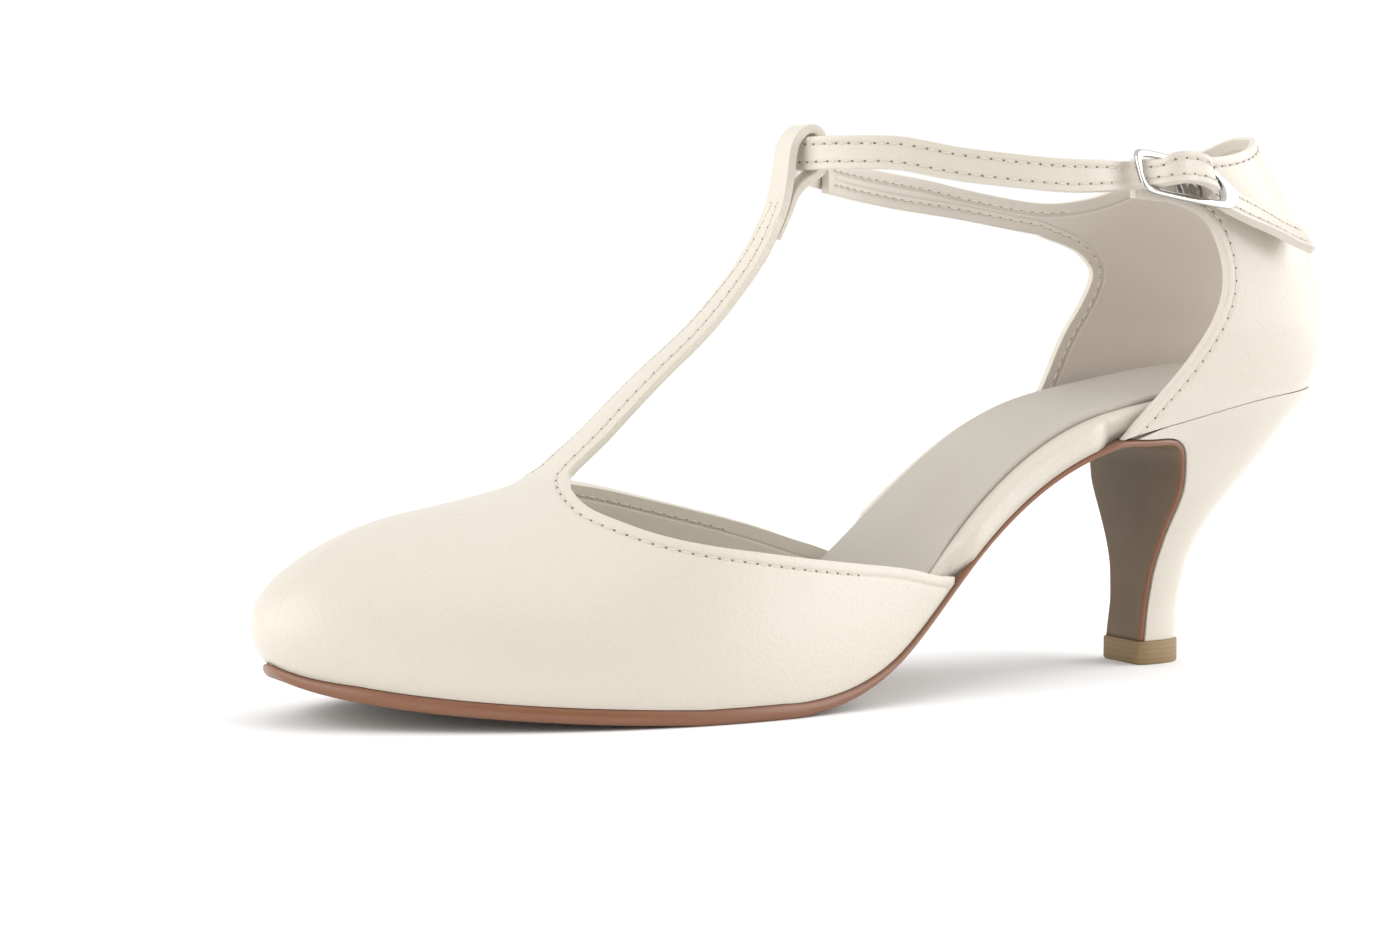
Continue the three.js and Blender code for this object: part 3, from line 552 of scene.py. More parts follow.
class Edge:
    # one side of the sole's outline, moved inwards
    def __init__(self, side, inset):
        half = outerCurve if side < 0 else innerCurve
        points = []
        last = 240
        for i in range(last + 1):
            share = (1 - math.cos(math.pi * i / last)) / 2
            points.append((heelBack - share * length, half(shareAngle(share))))
        moved = []
        for i, (x, y) in enumerate(points):
            a, b = points[max(i - 1, 0)], points[min(i + 1, last)]
            run = math.hypot(b[0] - a[0], b[1] - a[1])
            d = inset(x) if callable(inset) else inset
            if i in (0, last):
                moved.append((x - d * (1 if i == 0 else -1), 0))
            else:
                moved.append((x - d * (b[1] - a[1]) / run, y + d * (b[0] - a[0]) / run))
        moved.sort()
        self.at = lines([p[0] for p in moved], [max(p[1], 0) for p in moved])
        self.front, self.back = moved[0][0], moved[-1][0]


def closeRow(left, right, steps=8):
    # the inner steps start close to the rim, so that its colour ends sharply
    shares = [0.012] + [i / steps for i in range(1, steps)] + [0.988]
    return (left + [left[-1].lerp(right[-1], f) for f in shares] + right[::-1]
            + [right[0].lerp(left[0], f) for f in shares])


def layerRow(x, pairs, base, thick, steps=8):
    # one closed section across the foot: edge profile, top, edge profile, bottom
    left, right = [], []
    for (outerEdge, innerEdge), rise in pairs:
        for edge, side, out in ((outerEdge, -1, left), (innerEdge, 1, right)):
            q = clamp(x, edge.front, edge.back)
            out.append(Vector((q, side * edge.at(q), base(q) + rise * thick(q))))
    return closeRow(left, right, steps)


def edgePairs(profile, baseInset):
    def moved(extra):
        return lambda x: baseInset(x) + extra
    return [((Edge(-1, moved(d)), Edge(1, moved(d))), rise) for d, rise in profile]


lastRing = len(heelSizes["half"]) - 1
ringKeys = ("backX", "backZ", "foreX", "foreZ", "half", "power")
heelCurves = {key: curve(list(range(lastRing + 1)), heelSizes[key]) for key in ringKeys}


def ring(k):
    return {key: heelCurves[key](k) for key in ringKeys}


shankEnd = shareAt(ring(lastRing)["foreX"] - soleSizes["flapLead"])


def makeOutsole():
    bm = bmesh.new()
    rim = bm.verts.layers.float.new("rim")
    layer = bm.verts.layers.float.new("layer")
    edgeSteps = 8
    profile = []
    for i in range(edgeSteps + 1):
        a = -math.pi / 2 + math.pi * i / edgeSteps
        profile.append((0.95 * (1 - math.cos(a)), 0.5 + 0.5 * math.sin(a)))
    pairs = edgePairs(profile, lambda x: 0.0)
    rows = []
    count = 150
    for i in range(count + 1):
        share = 1 - (1 - math.cos(math.pi / 2 * i / count)) * (1 - shankEnd)
        x = heelBack - length * share
        rows.append(layerRow(x, pairs, underHeight, lambda q: soleThickness(shareAt(q))))
    # the flap turns down the heel's breast
    steps = 70
    places = [lastRing - lastRing * i / steps for i in range(steps + 1)]
    for k in places:
        here, a, b = ring(k), ring(min(k + 0.5, lastRing)), ring(max(k - 0.5, 0))
        dx, dz = b["foreX"] - a["foreX"], b["foreZ"] - a["foreZ"]
        run = math.hypot(dx, dz)
        normal = Vector((1, 0, 0)) if k < 0.3 else Vector((-dz / run, 0, dx / run))
        thick = mix(soleSizes["flap"], soleSizes["thickness"][0], clamp(k - 11.5))
        middle = Vector((here["foreX"], 0, here["foreZ"])) - normal * (fitGap + thick)
        half = here["half"] - 0.2
        sides = [[middle + normal * (rise * thick) + Vector((0, side * (half - d * 0.75), 0))
                  for d, rise in profile] for side in (-1, 1)]
        rows.append(closeRow(*sides))
    n, inner = len(profile), 9

    def rimAt(i, j):
        j = j % len(rows[0])
        return 1.0 if j < n or n + inner <= j < 2 * n + inner else 0.0

    def layerAt(i, j):
        j = j % len(rows[0])
        if j < n:
            return j / (n - 1)
        if n + inner <= j < 2 * n + inner:
            return (2 * n + inner - 1 - j) / (n - 1)
        return 1.0 if j < n + inner else 0.0
    rowsToSheet(bm, rows, True, [(rim, rimAt), (layer, layerAt)])
    capSheets(bm)
    finishPiece(bm, "outsolePiece", [soleLeather], ["outsole"])


makeOutsole()
print("sole made")


def makeHeel(sizes):
    bm = bmesh.new()
    rows = []
    steps, around, seat = 84, 30, sizes["seatRing"]
    for i in range(steps + 1):
        k = lastRing * i / steps
        r = ring(k)
        lift = clamp((k - seat) / (lastRing - seat)) ** 2
        p = 2 / r["power"]

        def height(x):
            flat = mix(r["foreZ"], r["backZ"], (x - r["foreX"]) / (r["backX"] - r["foreX"]))
            # the front stays down on the flap's bend
            return mix(flat, soleTop(x) - fitGap, lift * ease((x - r["foreX"]) / sizes["bendReach"]))
        side = []
        for j in range(around + 1):
            a = math.pi / 2 * (j / around) ** 1.5
            side.append((mix(r["foreX"], r["backX"], math.sin(a) ** p), r["half"] * math.cos(a) ** p))
        side[-1] = (side[-1][0], 0)
        row = [Vector((x, -y, height(x))) for x, y in side]
        row += [Vector((x, y, height(x))) for x, y in side[-2::-1]]
        row += [Vector((r["foreX"], mix(r["half"], -r["half"], f / 10), height(r["foreX"])))
                for f in range(1, 10)]
        rows.append(row)
    rowsToSheet(bm, rows, True)
    capSheets(bm)
    finishPiece(bm, "heelPiece", [heelLeather], ["heel"], edgeWidth=0.45, edgeAngle=50)


def makeTipPiece(sizes):
    bm = bmesh.new()
    rows = []
    tall = sizes["tipHeight"]
    for z, inset in ((0, 0.5), (0.12, 0.2), (0.5, 0), (tall / 2, 0), (tall - 0.3, 0), (tall, 0.15)):
        r = sizes["tipWidth"] / 2 - inset
        fore, back = -sizes["tipDepth"] / 2 + inset, sizes["tipDepth"] / 2 - inset
        row = []
        for i in range(49):
            a = -math.pi / 2 + math.pi * i / 48
            p = 2 / 2.3
            y = math.copysign(abs(math.sin(a)) ** p, math.sin(a)) * r
            row.append(Vector((mix(fore + 2, back, max(math.cos(a), 0) ** p), y, z)))
        row += [Vector((fore, r - 0.6, z)), Vector((fore, 0, z)), Vector((fore, -r + 0.6, z))]
        rows.append(row)
    rowsToSheet(bm, rows, True)
    capSheets(bm)
    finishPiece(bm, "topPiece", [tipRubber], ["top_piece"], edgeWidth=0.12, edgeAngle=60)


makeHeel(heelSizes)
makeTipPiece(heelSizes)
print("heel made")

boardSizes = {
    "at": [0, 0.135, 0.24, 0.345, 0.45, 0.56, 0.705, 1],
    "thick": [4.4, 4.82, 5.78, 6.2, 5.78, 3.79, 3.01, 2.8],
    "roll": 1.6, "waist": (-64.5, -23.0), "quarterWall": 2.0,
    "waistInset": 0.25, "tuckGap": 0.7, "sock": 1.0, "sockInset": 4.6, "sockTuck": 1.3,
}
waistFore, waistBack = boardSizes["waist"]
boardLift = curve(boardSizes["at"], boardSizes["thick"])


def hidden(x):
    return 1 - ease((x - waistFore) / 5) * ease((waistBack - x) / 5)


def boardInset(x):
    tuck = soleSizes["featherInset"] + boardSizes["quarterWall"] + fitGap + boardSizes["tuckGap"]
    return mix(boardSizes["waistInset"], tuck, hidden(x))


def boardThick(x):
    return boardLift(shareAt(x))


def boardTop(x):
    return soleTop(x) + fitGap + boardThick(x)


def innerStations(pairs, count=150):
    edge = pairs[0][0][0]
    return [mix(edge.front, edge.back, (1 - math.cos(math.pi * i / count)) / 2) for i in range(count + 1)]


def makeBoard():
    bm = bmesh.new()
    roll = boardSizes["roll"]
    profile = [(0, 0), (0, 0.3), (0, 0.62)]
    for i in range(1, 7):
        a = math.pi / 2 * i / 6
        profile.append((roll * 1.15 * (1 - math.cos(a)), 0.62 + 0.38 * math.sin(a)))
    pairs = edgePairs(profile, boardInset)
    rows = [layerRow(x, pairs, lambda q: soleTop(q) + fitGap, boardThick)
            for x in innerStations(pairs)]
    rowsToSheet(bm, rows, True)
    joinSheets(bm)
    finishPiece(bm, "boardPiece", [boardLeather], ["insole_board"])


def makeSock():
    bm = bmesh.new()
    profile = [(0, 0), (0, 0.55), (0.15, 0.85), (0.5, 1)]

    def sockInset(x):
        return boardInset(x) + mix(boardSizes["sockInset"], boardSizes["sockTuck"], hidden(x))
    pairs = edgePairs(profile, sockInset)
    rows = [layerRow(x, pairs, lambda q: boardTop(q) + fitGap * 0.3,
                     lambda q: boardSizes["sock"] + 0.2, 12)
            for x in innerStations(pairs)]
    rowsToSheet(bm, rows, True)
    joinSheets(bm)
    finishPiece(bm, "sockPiece", [shadedSockLeather], ["insole_sock"])


makeBoard()
makeSock()
print("inside made")

vampSizes = {
    "wall": 1.7, "throatX": -140.4, "foldX": -152.0, "foldReach": 27.0, "endX": -65.0, "beltX": -60.1,
    "barHalf": 5.5, "throatHeight": 46.8,
    "footShift": 6.0,       # the seam between toe and sides starts this far ahead of the throat
    "ridgeX": [-201.0, -197.0, -192.0, -184.0, -176.0, -168.0, -159.6, -151.2, -143.5, -137.6, -131.6,
               -125.1, -117.8, -109.2, -101.2],
    "ridgeZ": [27.0, 29.3, 32.0, 35.4, 37.9, 39.4, 40.8, 42.5, 45.1, 49.4, 54.8, 60.8, 66.9, 73.7, 81.2],
    "formAt": [1, 0.96, 0.88, 0.79, 0.66, 0.54, 0.41],
    "rise": [0.52, 0.53, 0.54, 0.56, 0.5, 0.42, 0.4],
    "full": [0.34, 0.4, 0.45, 0.47, 0.42, 0.4, 0.4],
    "bulge": [0.285, 0.165, 0.08, 0.05, 0.034, 0.022, 0.013],
    "topAt": {-1: [.05, .1, .15, .2, .25, .3, .35, .4, .5, .6, .7, .8, .9, 1],
              1: [.05, .1, .2, .3, .4, .5, .6, .7, .8, .9, 1]},
    "topX": {-1: [-141.5, -142.0, -141.9, -141.3, -139.9, -137.0, -132.2, -126.0, -115.0, -102.4, -88.5,
                  -77.4, -70.2, -65],
             1: [-139.4, -136.4, -131.6, -124.5, -116.0, -106.5, -94.0, -83.5, -76.0, -70.6, -65]},
    "topZ": {-1: [44.6, 43.0, 41.7, 40.4, 39.2, 37.7, 35.7, 34.0, 32.0, 30.0, 28.0, 26.3, 24.6, 23.9],
             1: [44.5, 43.6, 42.8, 41.6, 39.8, 37.3, 33.9, 30.7, 28.0, 26.2, 23.9]},
}
barSizes = {
    "x": [-140.4, -132.9, -125.8, -118.2, -109.8, -102.6, -97.2, -93.8, -91.6, -90.5, -89.9, -89.1, -87.3,
          -84.6, -82.2, -81.0, -80.7, -81.6, -84.6, -87.2, -89.0, -91.9],
    "z": [46.8, 53.7, 60.2, 66.7, 73.6, 81.0, 87.6, 93.2, 97.8, 102.0, 106.0, 109.8, 112.4, 113.7, 112.9,
          110.4, 106.8, 103.9, 101.8, 99.6, 96.2, 90.6],
    "half": [6.9, 6.3, 6.0, 5.7, 5.2, 4.7, 4.3, 3.9, 3.6, 3.4, 3.3, 3.2, 3.2, 3.2, 3.2, 3.2, 3.2, 3.2, 3.2,
             3.2, 3.2, 3.2],
    "crown": [1.2, 1.2, 1.1, .9, .7, .5, .4, .25, .1, 0, 0, 0, 0, 0, 0, 0, 0, 0, 0, 0, -.1, -.15],
    "wall": [1] * 16 + [1, 0.94, 0.76, 0.65, 0.53, 0.41],
}
ridgeHeight = curve(vampSizes["ridgeX"], vampSizes["ridgeZ"])
formX = [heelBack - s * length for s in vampSizes["formAt"]]
riseShare = curve(formX, vampSizes["rise"])
fullShare = curve(formX, vampSizes["full"])
bulgeOut = curve(formX, [b * vampSizes["throatHeight"] for b in vampSizes["bulge"]])
lastEdge = {-1: Edge(-1, soleSizes["featherInset"]), 1: Edge(1, soleSizes["featherInset"])}
lastToe = toeX + soleSizes["featherInset"]
throatX, vampEndX, footShift = (vampSizes[key] for key in ("throatX", "endX", "footShift"))


def spineX(x):
    fold, reach = vampSizes["foldX"], vampSizes["foldReach"]
    return x if x > fold else fold - reach * (1 - math.exp((x - fold) / reach))


def lastPoint(side, x, v):
    edge = lastEdge[side]
    half = edge.at(x)
    nx = edge.at(max(x - 1.2, lastToe)) - edge.at(min(x + 1.2, vampSizes["beltX"]))
    ny = 2.4
    if x < lastToe + 1:
        nx, ny = -1, math.sqrt(max(x - lastToe, 0)) * 0.4
    run = math.hypot(nx, ny)
    z0 = soleTop(x) + fitGap
    sx = spineX(x)
    zr = ridgeHeight(sx)
    slope = ridgeHeight(sx + 0.5) - ridgeHeight(sx - 0.5)
    out, c, dx = bulgeOut(x), fullShare(x), x - sx
    p0 = Vector((x, half, z0))
    p1 = Vector((x + nx / run * out, half + ny / run * out, z0 + riseShare(x) * (zr - z0)))
    p2 = Vector((sx + dx * c, half * c, zr + slope * dx * c * 0.85))
    p3 = Vector((sx, 0, zr))
    u = 1 - v
    q = p0 * u ** 3 + p1 * (3 * u * u * v) + p2 * (3 * u * v * v) + p3 * v ** 3
    q.y *= side
    return q


def ribShare(side, x, low, test):
    high = 1
    for _ in range(24):
        m = (low + high) / 2
        if test(lastPoint(side, x, m)):
            low = m
        else:
            high = m
    return (low + high) / 2


def dense(f, power=1.55):
    # steps that close up towards the edge
    return 1 - (1 - f) ** power


def spread(count, power=1.55):
    # shares from one edge to the other, closer at both
    return [dense(abs(c) / count, power) * (-1 if c < 0 else 1) for c in range(-count, count + 1)]


barCount, wingCount = 8, 30
wingShares = [dense(j / wingCount) for j in range(wingCount + 1)]


def barStart(side, x):
    return ribShare(side, x, 0.4, lambda p: abs(p.y) > vampSizes["barHalf"] * 1.25)


throatShare = {s: barStart(s, throatX) for s in (-1, 1)}


def foreRib(side, x):
    v = barStart(side, x)
    foot = x - footShift * ease((x - throatX + 34) / 34)
    rib = [lastPoint(side, mix(foot, x, g ** 7), v * g) for g in wingShares]
    return rib + [lastPoint(side, x, mix(1, v, dense(1 - j / barCount))) for j in range(1, barCount + 1)]


topCurves = {}
for side in (-1, 1):
    corner = lastPoint(side, throatX, throatShare[side])
    knots = [0] + vampSizes["topAt"][side]
    topCurves[side] = (curve(knots, [corner.x] + vampSizes["topX"][side]),
                       curve(knots, [corner.z] + vampSizes["topZ"][side]))


def wingEnd(side, f):
    # top line: its place along the foot and its share up the rib
    topX, topZ = topCurves[side]
    return topX(f), ribShare(side, topX(f), 0, lambda p: p.z < topZ(f))


def wingRow(side, f, shares):
    x, v = wingEnd(side, f)
    foot = mix(throatX - footShift, vampEndX, f ** 1.7)
    late = ease(f / 0.3)
    return [lastPoint(side, mix(foot, x, mix(g ** 7, ease(g), late)), v * g) for g in shares]


barLine = [Vector((x, 0, z)) for x, z in zip(barSizes["x"], barSizes["z"])]
barAlong = chordLengths(barLine)
barCurves = {key: curve(barAlong, barSizes[key]) for key in ("x", "z", "half", "crown")}
barWall = lines(barAlong, barSizes["wall"])


def plainBar(s, f):
    dx = barCurves["x"](s + 0.4) - barCurves["x"](s - 0.4)
    dz = barCurves["z"](s + 0.4) - barCurves["z"](s - 0.4)
    run = math.hypot(dx, dz) or 1
    drop = barCurves["crown"](s) * f * f
    return Vector((barCurves["x"](s) + dz / run * drop, f * barCurves["half"](s),
                   barCurves["z"](s) - dx / run * drop))


def barPoint(s, f):
    p = plainBar(s, f)
    if s < 12:
        side = -1 if f < 0 else 1
        first = lastPoint(side, throatX, mix(1, throatShare[side], abs(f)))
        p += (first - plainBar(0, f)) * (1 - ease(s / 12))
    return p


def makeVamp():
    bm = bmesh.new()
    wall = bm.verts.layers.float.new("wall")
    edge = bm.verts.layers.float.new("edge")
    foreCount, wingRows, barRows = 84, 84, 150
    for side in (-1, 1):
        xs = []
        for i in range(foreCount + 1):
            f = i / foreCount
            xs.append(mix(lastToe, throatX, f * f * (0.4 + 0.6 * f) * 0.35 + f * 0.65 * f))
        rowsToSheet(bm, [foreRib(side, x) for x in xs], layers=[(wall, lambda i, j: 1.0)])
        rows = [foreRib(side, throatX)[:wingCount + 1]]
        rows += [wingRow(side, (k / wingRows) ** 1.2, wingShares) for k in range(1, wingRows + 1)]
        rowsToSheet(bm, rows, layers=[(wall, lambda i, j: 1.0)])
    rows = [[barPoint(barAlong[-1] * i / barRows, f) for f in spread(barCount)]
            for i in range(barRows + 1)]
    rowsToSheet(bm, rows, layers=[(wall, lambda i, j: barWall(barAlong[-1] * i / barRows))])
    joinSheets(bm, (-150, 0, 12))
    lists = []
    for side in (-1, 1):
        topLine = [wingRow(side, 1 - i / 160, [1])[0] for i in range(161)]
        topLine += [barPoint(barAlong[-1] * i / 300, side) for i in range(301)]
        lists.append(resample(topLine))
    ends = resample([barPoint(barAlong[-1], f / 4) for f in range(-4, 5)])
    for side in (-1, 1):
        ends += resample(wingRow(side, 1, [j / 12 for j in range(13)]))
    near = distanceTo([*lists, ends])
    for vert in bm.verts:
        # the puffed edge fades out where the bar narrows to its loop
        vert[edge] = min(near(vert.co / mm) + max(vert.co.z / mm - 90, 0) * 0.4, 60.0)
    tree = BVHTree.FromBMesh(bm)
    finishPiece(bm, "vampPiece", [leather, litVampLining], ["vamp"], wall=vampSizes["wall"],
                wallGroup="wall", edgeWidth=0.5)
    return tree, lists, near


vampTree, vampEdges, vampNear = makeVamp()
print("vamp made")

quarterSizes = {
    "wall": 2.0, "strapWall": 1.7, "collarZ": 112.5, "earRise": 0.84, "ankleHalf": 25.5,
    "backZ": [59.2, 61.5, 64.3, 69.7, 75, 81, 87.3, 95, 100.4, 105.3, 110.5, 112.5],
    "backX": [36.1, 38.0, 39.2, 39.7, 39.2, 38.2, 36.0, 32.4, 29.6, 26.8, 23.9, 22.9],
    "topX": {-1: [22.9, 21, 17.5, 12, 4, -3, -12, -24],
             1: [22.9, 22.2, 19, 15, 8, 1.7, -3.4, -9.0, -17.9, -26.4, -33.5, -40.5, -47.4, -68, -82]},
    "topZ": {-1: [112.5, 112.3, 111.2, 109.5, 108.0, 107.5, 107.2, 107],
             1: [112.5, 111.4, 108.8, 106.1, 102.4, 100.0, 98.9, 98.3, 98.8, 100.2, 101.6, 103.0, 104.0,
                 106.7, 108.8]},
    "lowX": {-1: [-12, -24], 1: [-12, -17.8, -26.4, -33.4, -47.4, -69.8, -82]},
    "lowZ": {-1: [98.2, 99.4], 1: [91.2, 92.1, 93.6, 94.8, 96.6, 99.8, 101.4]},
    "frontRise": {-1: [0, .07, .16, .34, .446, .58, .7, .79, .84],
                  1: [0, .1, .23, .37, .5, .57, .638, .694, .745, .80, .84]},
    "frontX": {-1: [-22, -16.5, -10, -.6, 2.4, 2.6, .2, -5, -12],
               1: [-19, -14.6, -10.7, -6.7, -2.1, -.2, .5, -.8, -2.9, -7.2, -12]},
    "strapX": [-12, -26, -40, -54, -64, -70, -75, -79, -82],
    "strapOut": [24.5, 25.6, 25.4, 23, 19.4, 16.2, 12.9, 9.2, 5.8],
    "lapX": -72.2, "earEnd": -21.0,
}
counterLow = soleTop(heelBack) + fitGap
collarZ = quarterSizes["collarZ"]
backAt = curve([mix(counterLow, collarZ, (z - 59.2) / (collarZ - 59.2)) for z in quarterSizes["backZ"]],
               quarterSizes["backX"])
rimTop = {s: curve(quarterSizes["topX"][s], quarterSizes["topZ"][s]) for s in (-1, 1)}
rimLow = {s: curve(quarterSizes["lowX"][s], quarterSizes["lowZ"][s]) for s in (-1, 1)}
rimFront = {s: curve(quarterSizes["frontRise"][s], quarterSizes["frontX"][s]) for s in (-1, 1)}
earRise = quarterSizes["earRise"]
sideX = heelBack - 0.2143 * length
earX = -12.0
roundPower = lines([v * collarZ for v in (0.533, 0.756, 0.889, 0.978)], [2.75, 2.6, 2.2, 1.95])
quarterWide = lines([v * collarZ for v in (0.462, 0.516, 0.64, 0.8, 0.96)],
                    [v * quarterSizes["ankleHalf"] for v in (0.894, 0.91, 0.957, 0.965, 0.957)])


def quarterHalf(x, z):
    bx = backAt(clamp(z, counterLow, collarZ))
    f = clamp((x - sideX) / (bx - sideX))
    p = roundPower(z)
    return quarterWide(z) * max(1 - f ** p, 0) ** (1 / p)


def quarterPoint(side, v, f):
    z = mix(counterLow, collarZ, v)
    if f == 0:
        return Vector((backAt(z), 0, z))
    end = rimFront[side](min(v, earRise))
    p = None
    for _ in range(4):
        bx = backAt(z)
        turned = bx + (end - bx) * (1 - math.cos(f * math.pi / 2))
        x = mix(turned, bx + (end - bx) * f, 0.15 * f)
        z = mix(soleTop(min(x, heelBack)) + fitGap, rimTop[side](min(x, 22.9)), v)
        p = Vector((x, side * quarterHalf(x, z), z))
    return p


ankleOut = curve(quarterSizes["strapX"], quarterSizes["strapOut"])


def innerStrapPoint(side, v, g):
    # g from the ear line to the ear's end on the outer side, to the lap on the inner side
    start = quarterPoint(side, v, 1)
    straight = quarterHalf(start.x, start.z)
    if g == 0:
        return start
    x = mix(earX, quarterSizes["earEnd"] if side < 0 else quarterSizes["lapX"],
            g if side < 0 else g * (1.25 - 0.25 * g))
    z = mix(rimLow[side](x), rimTop[side](x), (v - earRise) / (1 - earRise))
    half = straight if side < 0 else mix(straight, ankleOut(x), ease(g * 2.2))
    return Vector((x, side * half, z))


def makeQuarter(sizes):
    bm = bmesh.new()
    wall = bm.verts.layers.float.new("wall")
    edge = bm.verts.layers.float.new("edge")
    rises = [earRise * i / 54 for i in range(55)] + [mix(earRise, 1, i / 14) for i in range(1, 15)]
    columns = 60
    for side in (-1, 1):
        rows = [[quarterPoint(side, v, 1 - (1 - i / columns) ** 1.15) for i in range(columns + 1)]
                for v in rises]
        rowsToSheet(bm, rows)
        count = 10 if side < 0 else 72
        rows = [[innerStrapPoint(side, v, i / count) for i in range(count + 1)] for v in rises[54:]]
        rowsToSheet(bm, rows)
    for vert in bm.verts:
        x = vert.co.x / mm
        thin = ease((vert.co.z / mm - 98) / 10) * ease(x / 8)
        vert[wall] = mix(sizes["strapWall"] / sizes["wall"], 1, ease((x + 34) / 12)) * mix(1, 0.6, thin)
    joinSheets(bm, (0, 0, 85))
    lists = {}
    for side in (-1, 1):
        front = [quarterPoint(side, earRise * i / 80, 1) for i in range(81)]
        front += [innerStrapPoint(side, earRise, i / 60) for i in range(1, 61)]
        lists["front", side] = resample(front)
        top = [innerStrapPoint(side, 1, 1 - i / 60) for i in range(60)]
        top += [quarterPoint(side, 1, 1 - i / 90) for i in range(91)]
        lists["top", side] = resample(top)
        lists["end", side] = resample([innerStrapPoint(side, mix(earRise, 1, i / 8), 1)
                                       for i in range(9)])
    near = distanceTo(lists.values())
    for vert in bm.verts:
        vert[edge] = min(near(vert.co / mm), 60.0)
    tree = BVHTree.FromBMesh(bm)
    finishPiece(bm, "quarterPiece", [leather, lining], ["quarter"], wall=sizes["wall"],
                wallGroup="wall", edgeWidth=0.5)
    return tree, lists, near


quarterTree, quarterEdges, quarterNear = makeQuarter(quarterSizes)
print("quarter made")

strapSizes = {
    "wall": 1.7, "crown": 0.18,
    "x": [-66.5, -71.1, -76.6, -80.9, -83.9, -85.5, -85.8, -85.3, -83.3, -79.2, -73, -65, -56, -47, -38, -30,
          -25.9, -23.9, -19, -16.8, -12.6, -8.1, -6.2, -4.9, -2.6, 1.4, 6.0, 11, 15.5, 20.5, 23.6, 24.4],
    "y": [20.6, 17.9, 14.5, 10.7, 7.2, 3.8, 0, -4.4, -8.6, -13, -17.6, -21.6, -24.8, -26.9, -27.8, -27.7,
          -27.1, -27.4, -32.1, -33.3, -33.6, -33.3, -31.3, -28.3, -27.3, -26.8, -26.3, -25.7, -24.9, -24.0,
          -23.5, -23.3],
    "z": [103.4, 104.2, 105.2, 106.3, 107.2, 107.8, 107.9, 107.9, 108.0, 108.0, 107.8, 106.2, 104.9, 104.0,
          103.5, 103.6, 103.7, 103.9, 104.6, 105.3, 105.4, 104.2, 103.0, 101.8, 100.6, 98.9, 97.2, 95.4,
          93.7, 91.9, 90.9, 90.5],
    "half": [3, 3.25] + [3.25] * 13 + [3.1, 2.85, 2.75, 2.65, 3.1, 3.1, 3, 2.4, 2.4, 2.6, 2.9, 3.2, 3.25,
                                       3.25, 3.25, 3.25, 3.0],
    "lean": [0] * 14 + [.05, .15, .32, .4, .33, .28, .25, .3, .38, .42, .45, .5, .62, .72, .78, .8, .8, .8],
}
strapLine = [Vector(p) for p in zip(strapSizes["x"], strapSizes["y"], strapSizes["z"])]
strapAlong = chordLengths(strapLine)
strapCurves = {key: curve(strapAlong, strapSizes[key]) for key in ("x", "y", "z")}
strapHalf = lines(strapAlong, strapSizes["half"])
strapLean = lines(strapAlong, strapSizes["lean"])


def strapPoint(s, f):
    at = Vector([strapCurves[k](s) for k in "xyz"])
    t = (Vector([strapCurves[k](s + 0.6) for k in "xyz"])
         - Vector([strapCurves[k](s - 0.6) for k in "xyz"])).normalized()
    up = (Vector((0, 0, 1)) - t * t.z).normalized()
    up = Quaternion(t, -strapLean(s)) @ up
    out = t.cross(up) * -1
    return at + up * (strapHalf(s) * f) - out * (strapSizes["crown"] * f * f)


def makeStrap(sizes):
    bm = bmesh.new()
    edge = bm.verts.layers.float.new("edge")
    count = 230
    total = strapAlong[-1]
    rowsToSheet(bm, [[strapPoint(total * i / count, f) for f in spread(6, 1.3)]
                     for i in range(count + 1)])
    joinSheets(bm, (-30, 0, 103))
    lists = [resample([strapPoint(total * i / 400, f) for i in range(401)]) for f in (-1, 1)]
    ends = [resample([strapPoint(s, f / 4) for f in range(-4, 5)]) for s in (0, total)]
    near = distanceTo([*lists, *ends])
    for vert in bm.verts:
        vert[edge] = near(vert.co / mm)
    tree = BVHTree.FromBMesh(bm)
    finishPiece(bm, "strapPiece", [strapLeather, lining], ["ankle_strap"],
                wall=sizes["wall"], edgeWidth=0.4)
    return tree, lists, near


strapLeather = makeLeather("strapLeather", dict(leatherLook, seamInset=1.5, lipHeight=0.1, seamDepth=0.08))
strapTree, strapEdges, strapNear = makeStrap(strapSizes)
print("strap made")

buckleSizes = {
    "at": (-12.69, -28.6, 102.91), "tilt": -0.17, "lean": 0.45, "slant": -0.15,
    "reach": 11.8, "corner": 11.4, "point": 2.4, "height": 9.1, "bar": 1.5, "window": 8.7, "thick": 1.4,
    "along": [1, 1, .98, .91, .8, .6, .35, .1, .03, 0, 0, 0, .03, .1, .35, .6, .8, .95, 1, 1],
    "up": [-.2, .12, .52, .86, 1, 1, 1, 1, .86, .55, 0, -.55, -.86, -1, -1, -1, -1, -.97, -.85, -.6],
    "tip": [1, .5, -.4, -.4, 0, 0, 0, 0, 0, 0, 0, 0, 0, 0, 0, 0, 0, 0, .1, .55],
    "plate": (7.0, 6.0, 0.7), "plateAt": (3.2, -0.8), "plateOut": -2.5, "snap": 1.9, "snapHeight": 1.1,
}


def onAnkle(u, w, out, sizes=buckleSizes):
    s = u + sizes["slant"] * w
    at, tilt = sizes["at"], sizes["tilt"]
    return Vector((at[0] + s * math.cos(tilt) - w * math.sin(tilt),
                   at[1] + (s / 14) ** 2 + sizes["lean"] * w - out,
                   at[2] + s * math.sin(tilt) + w * math.cos(tilt)))


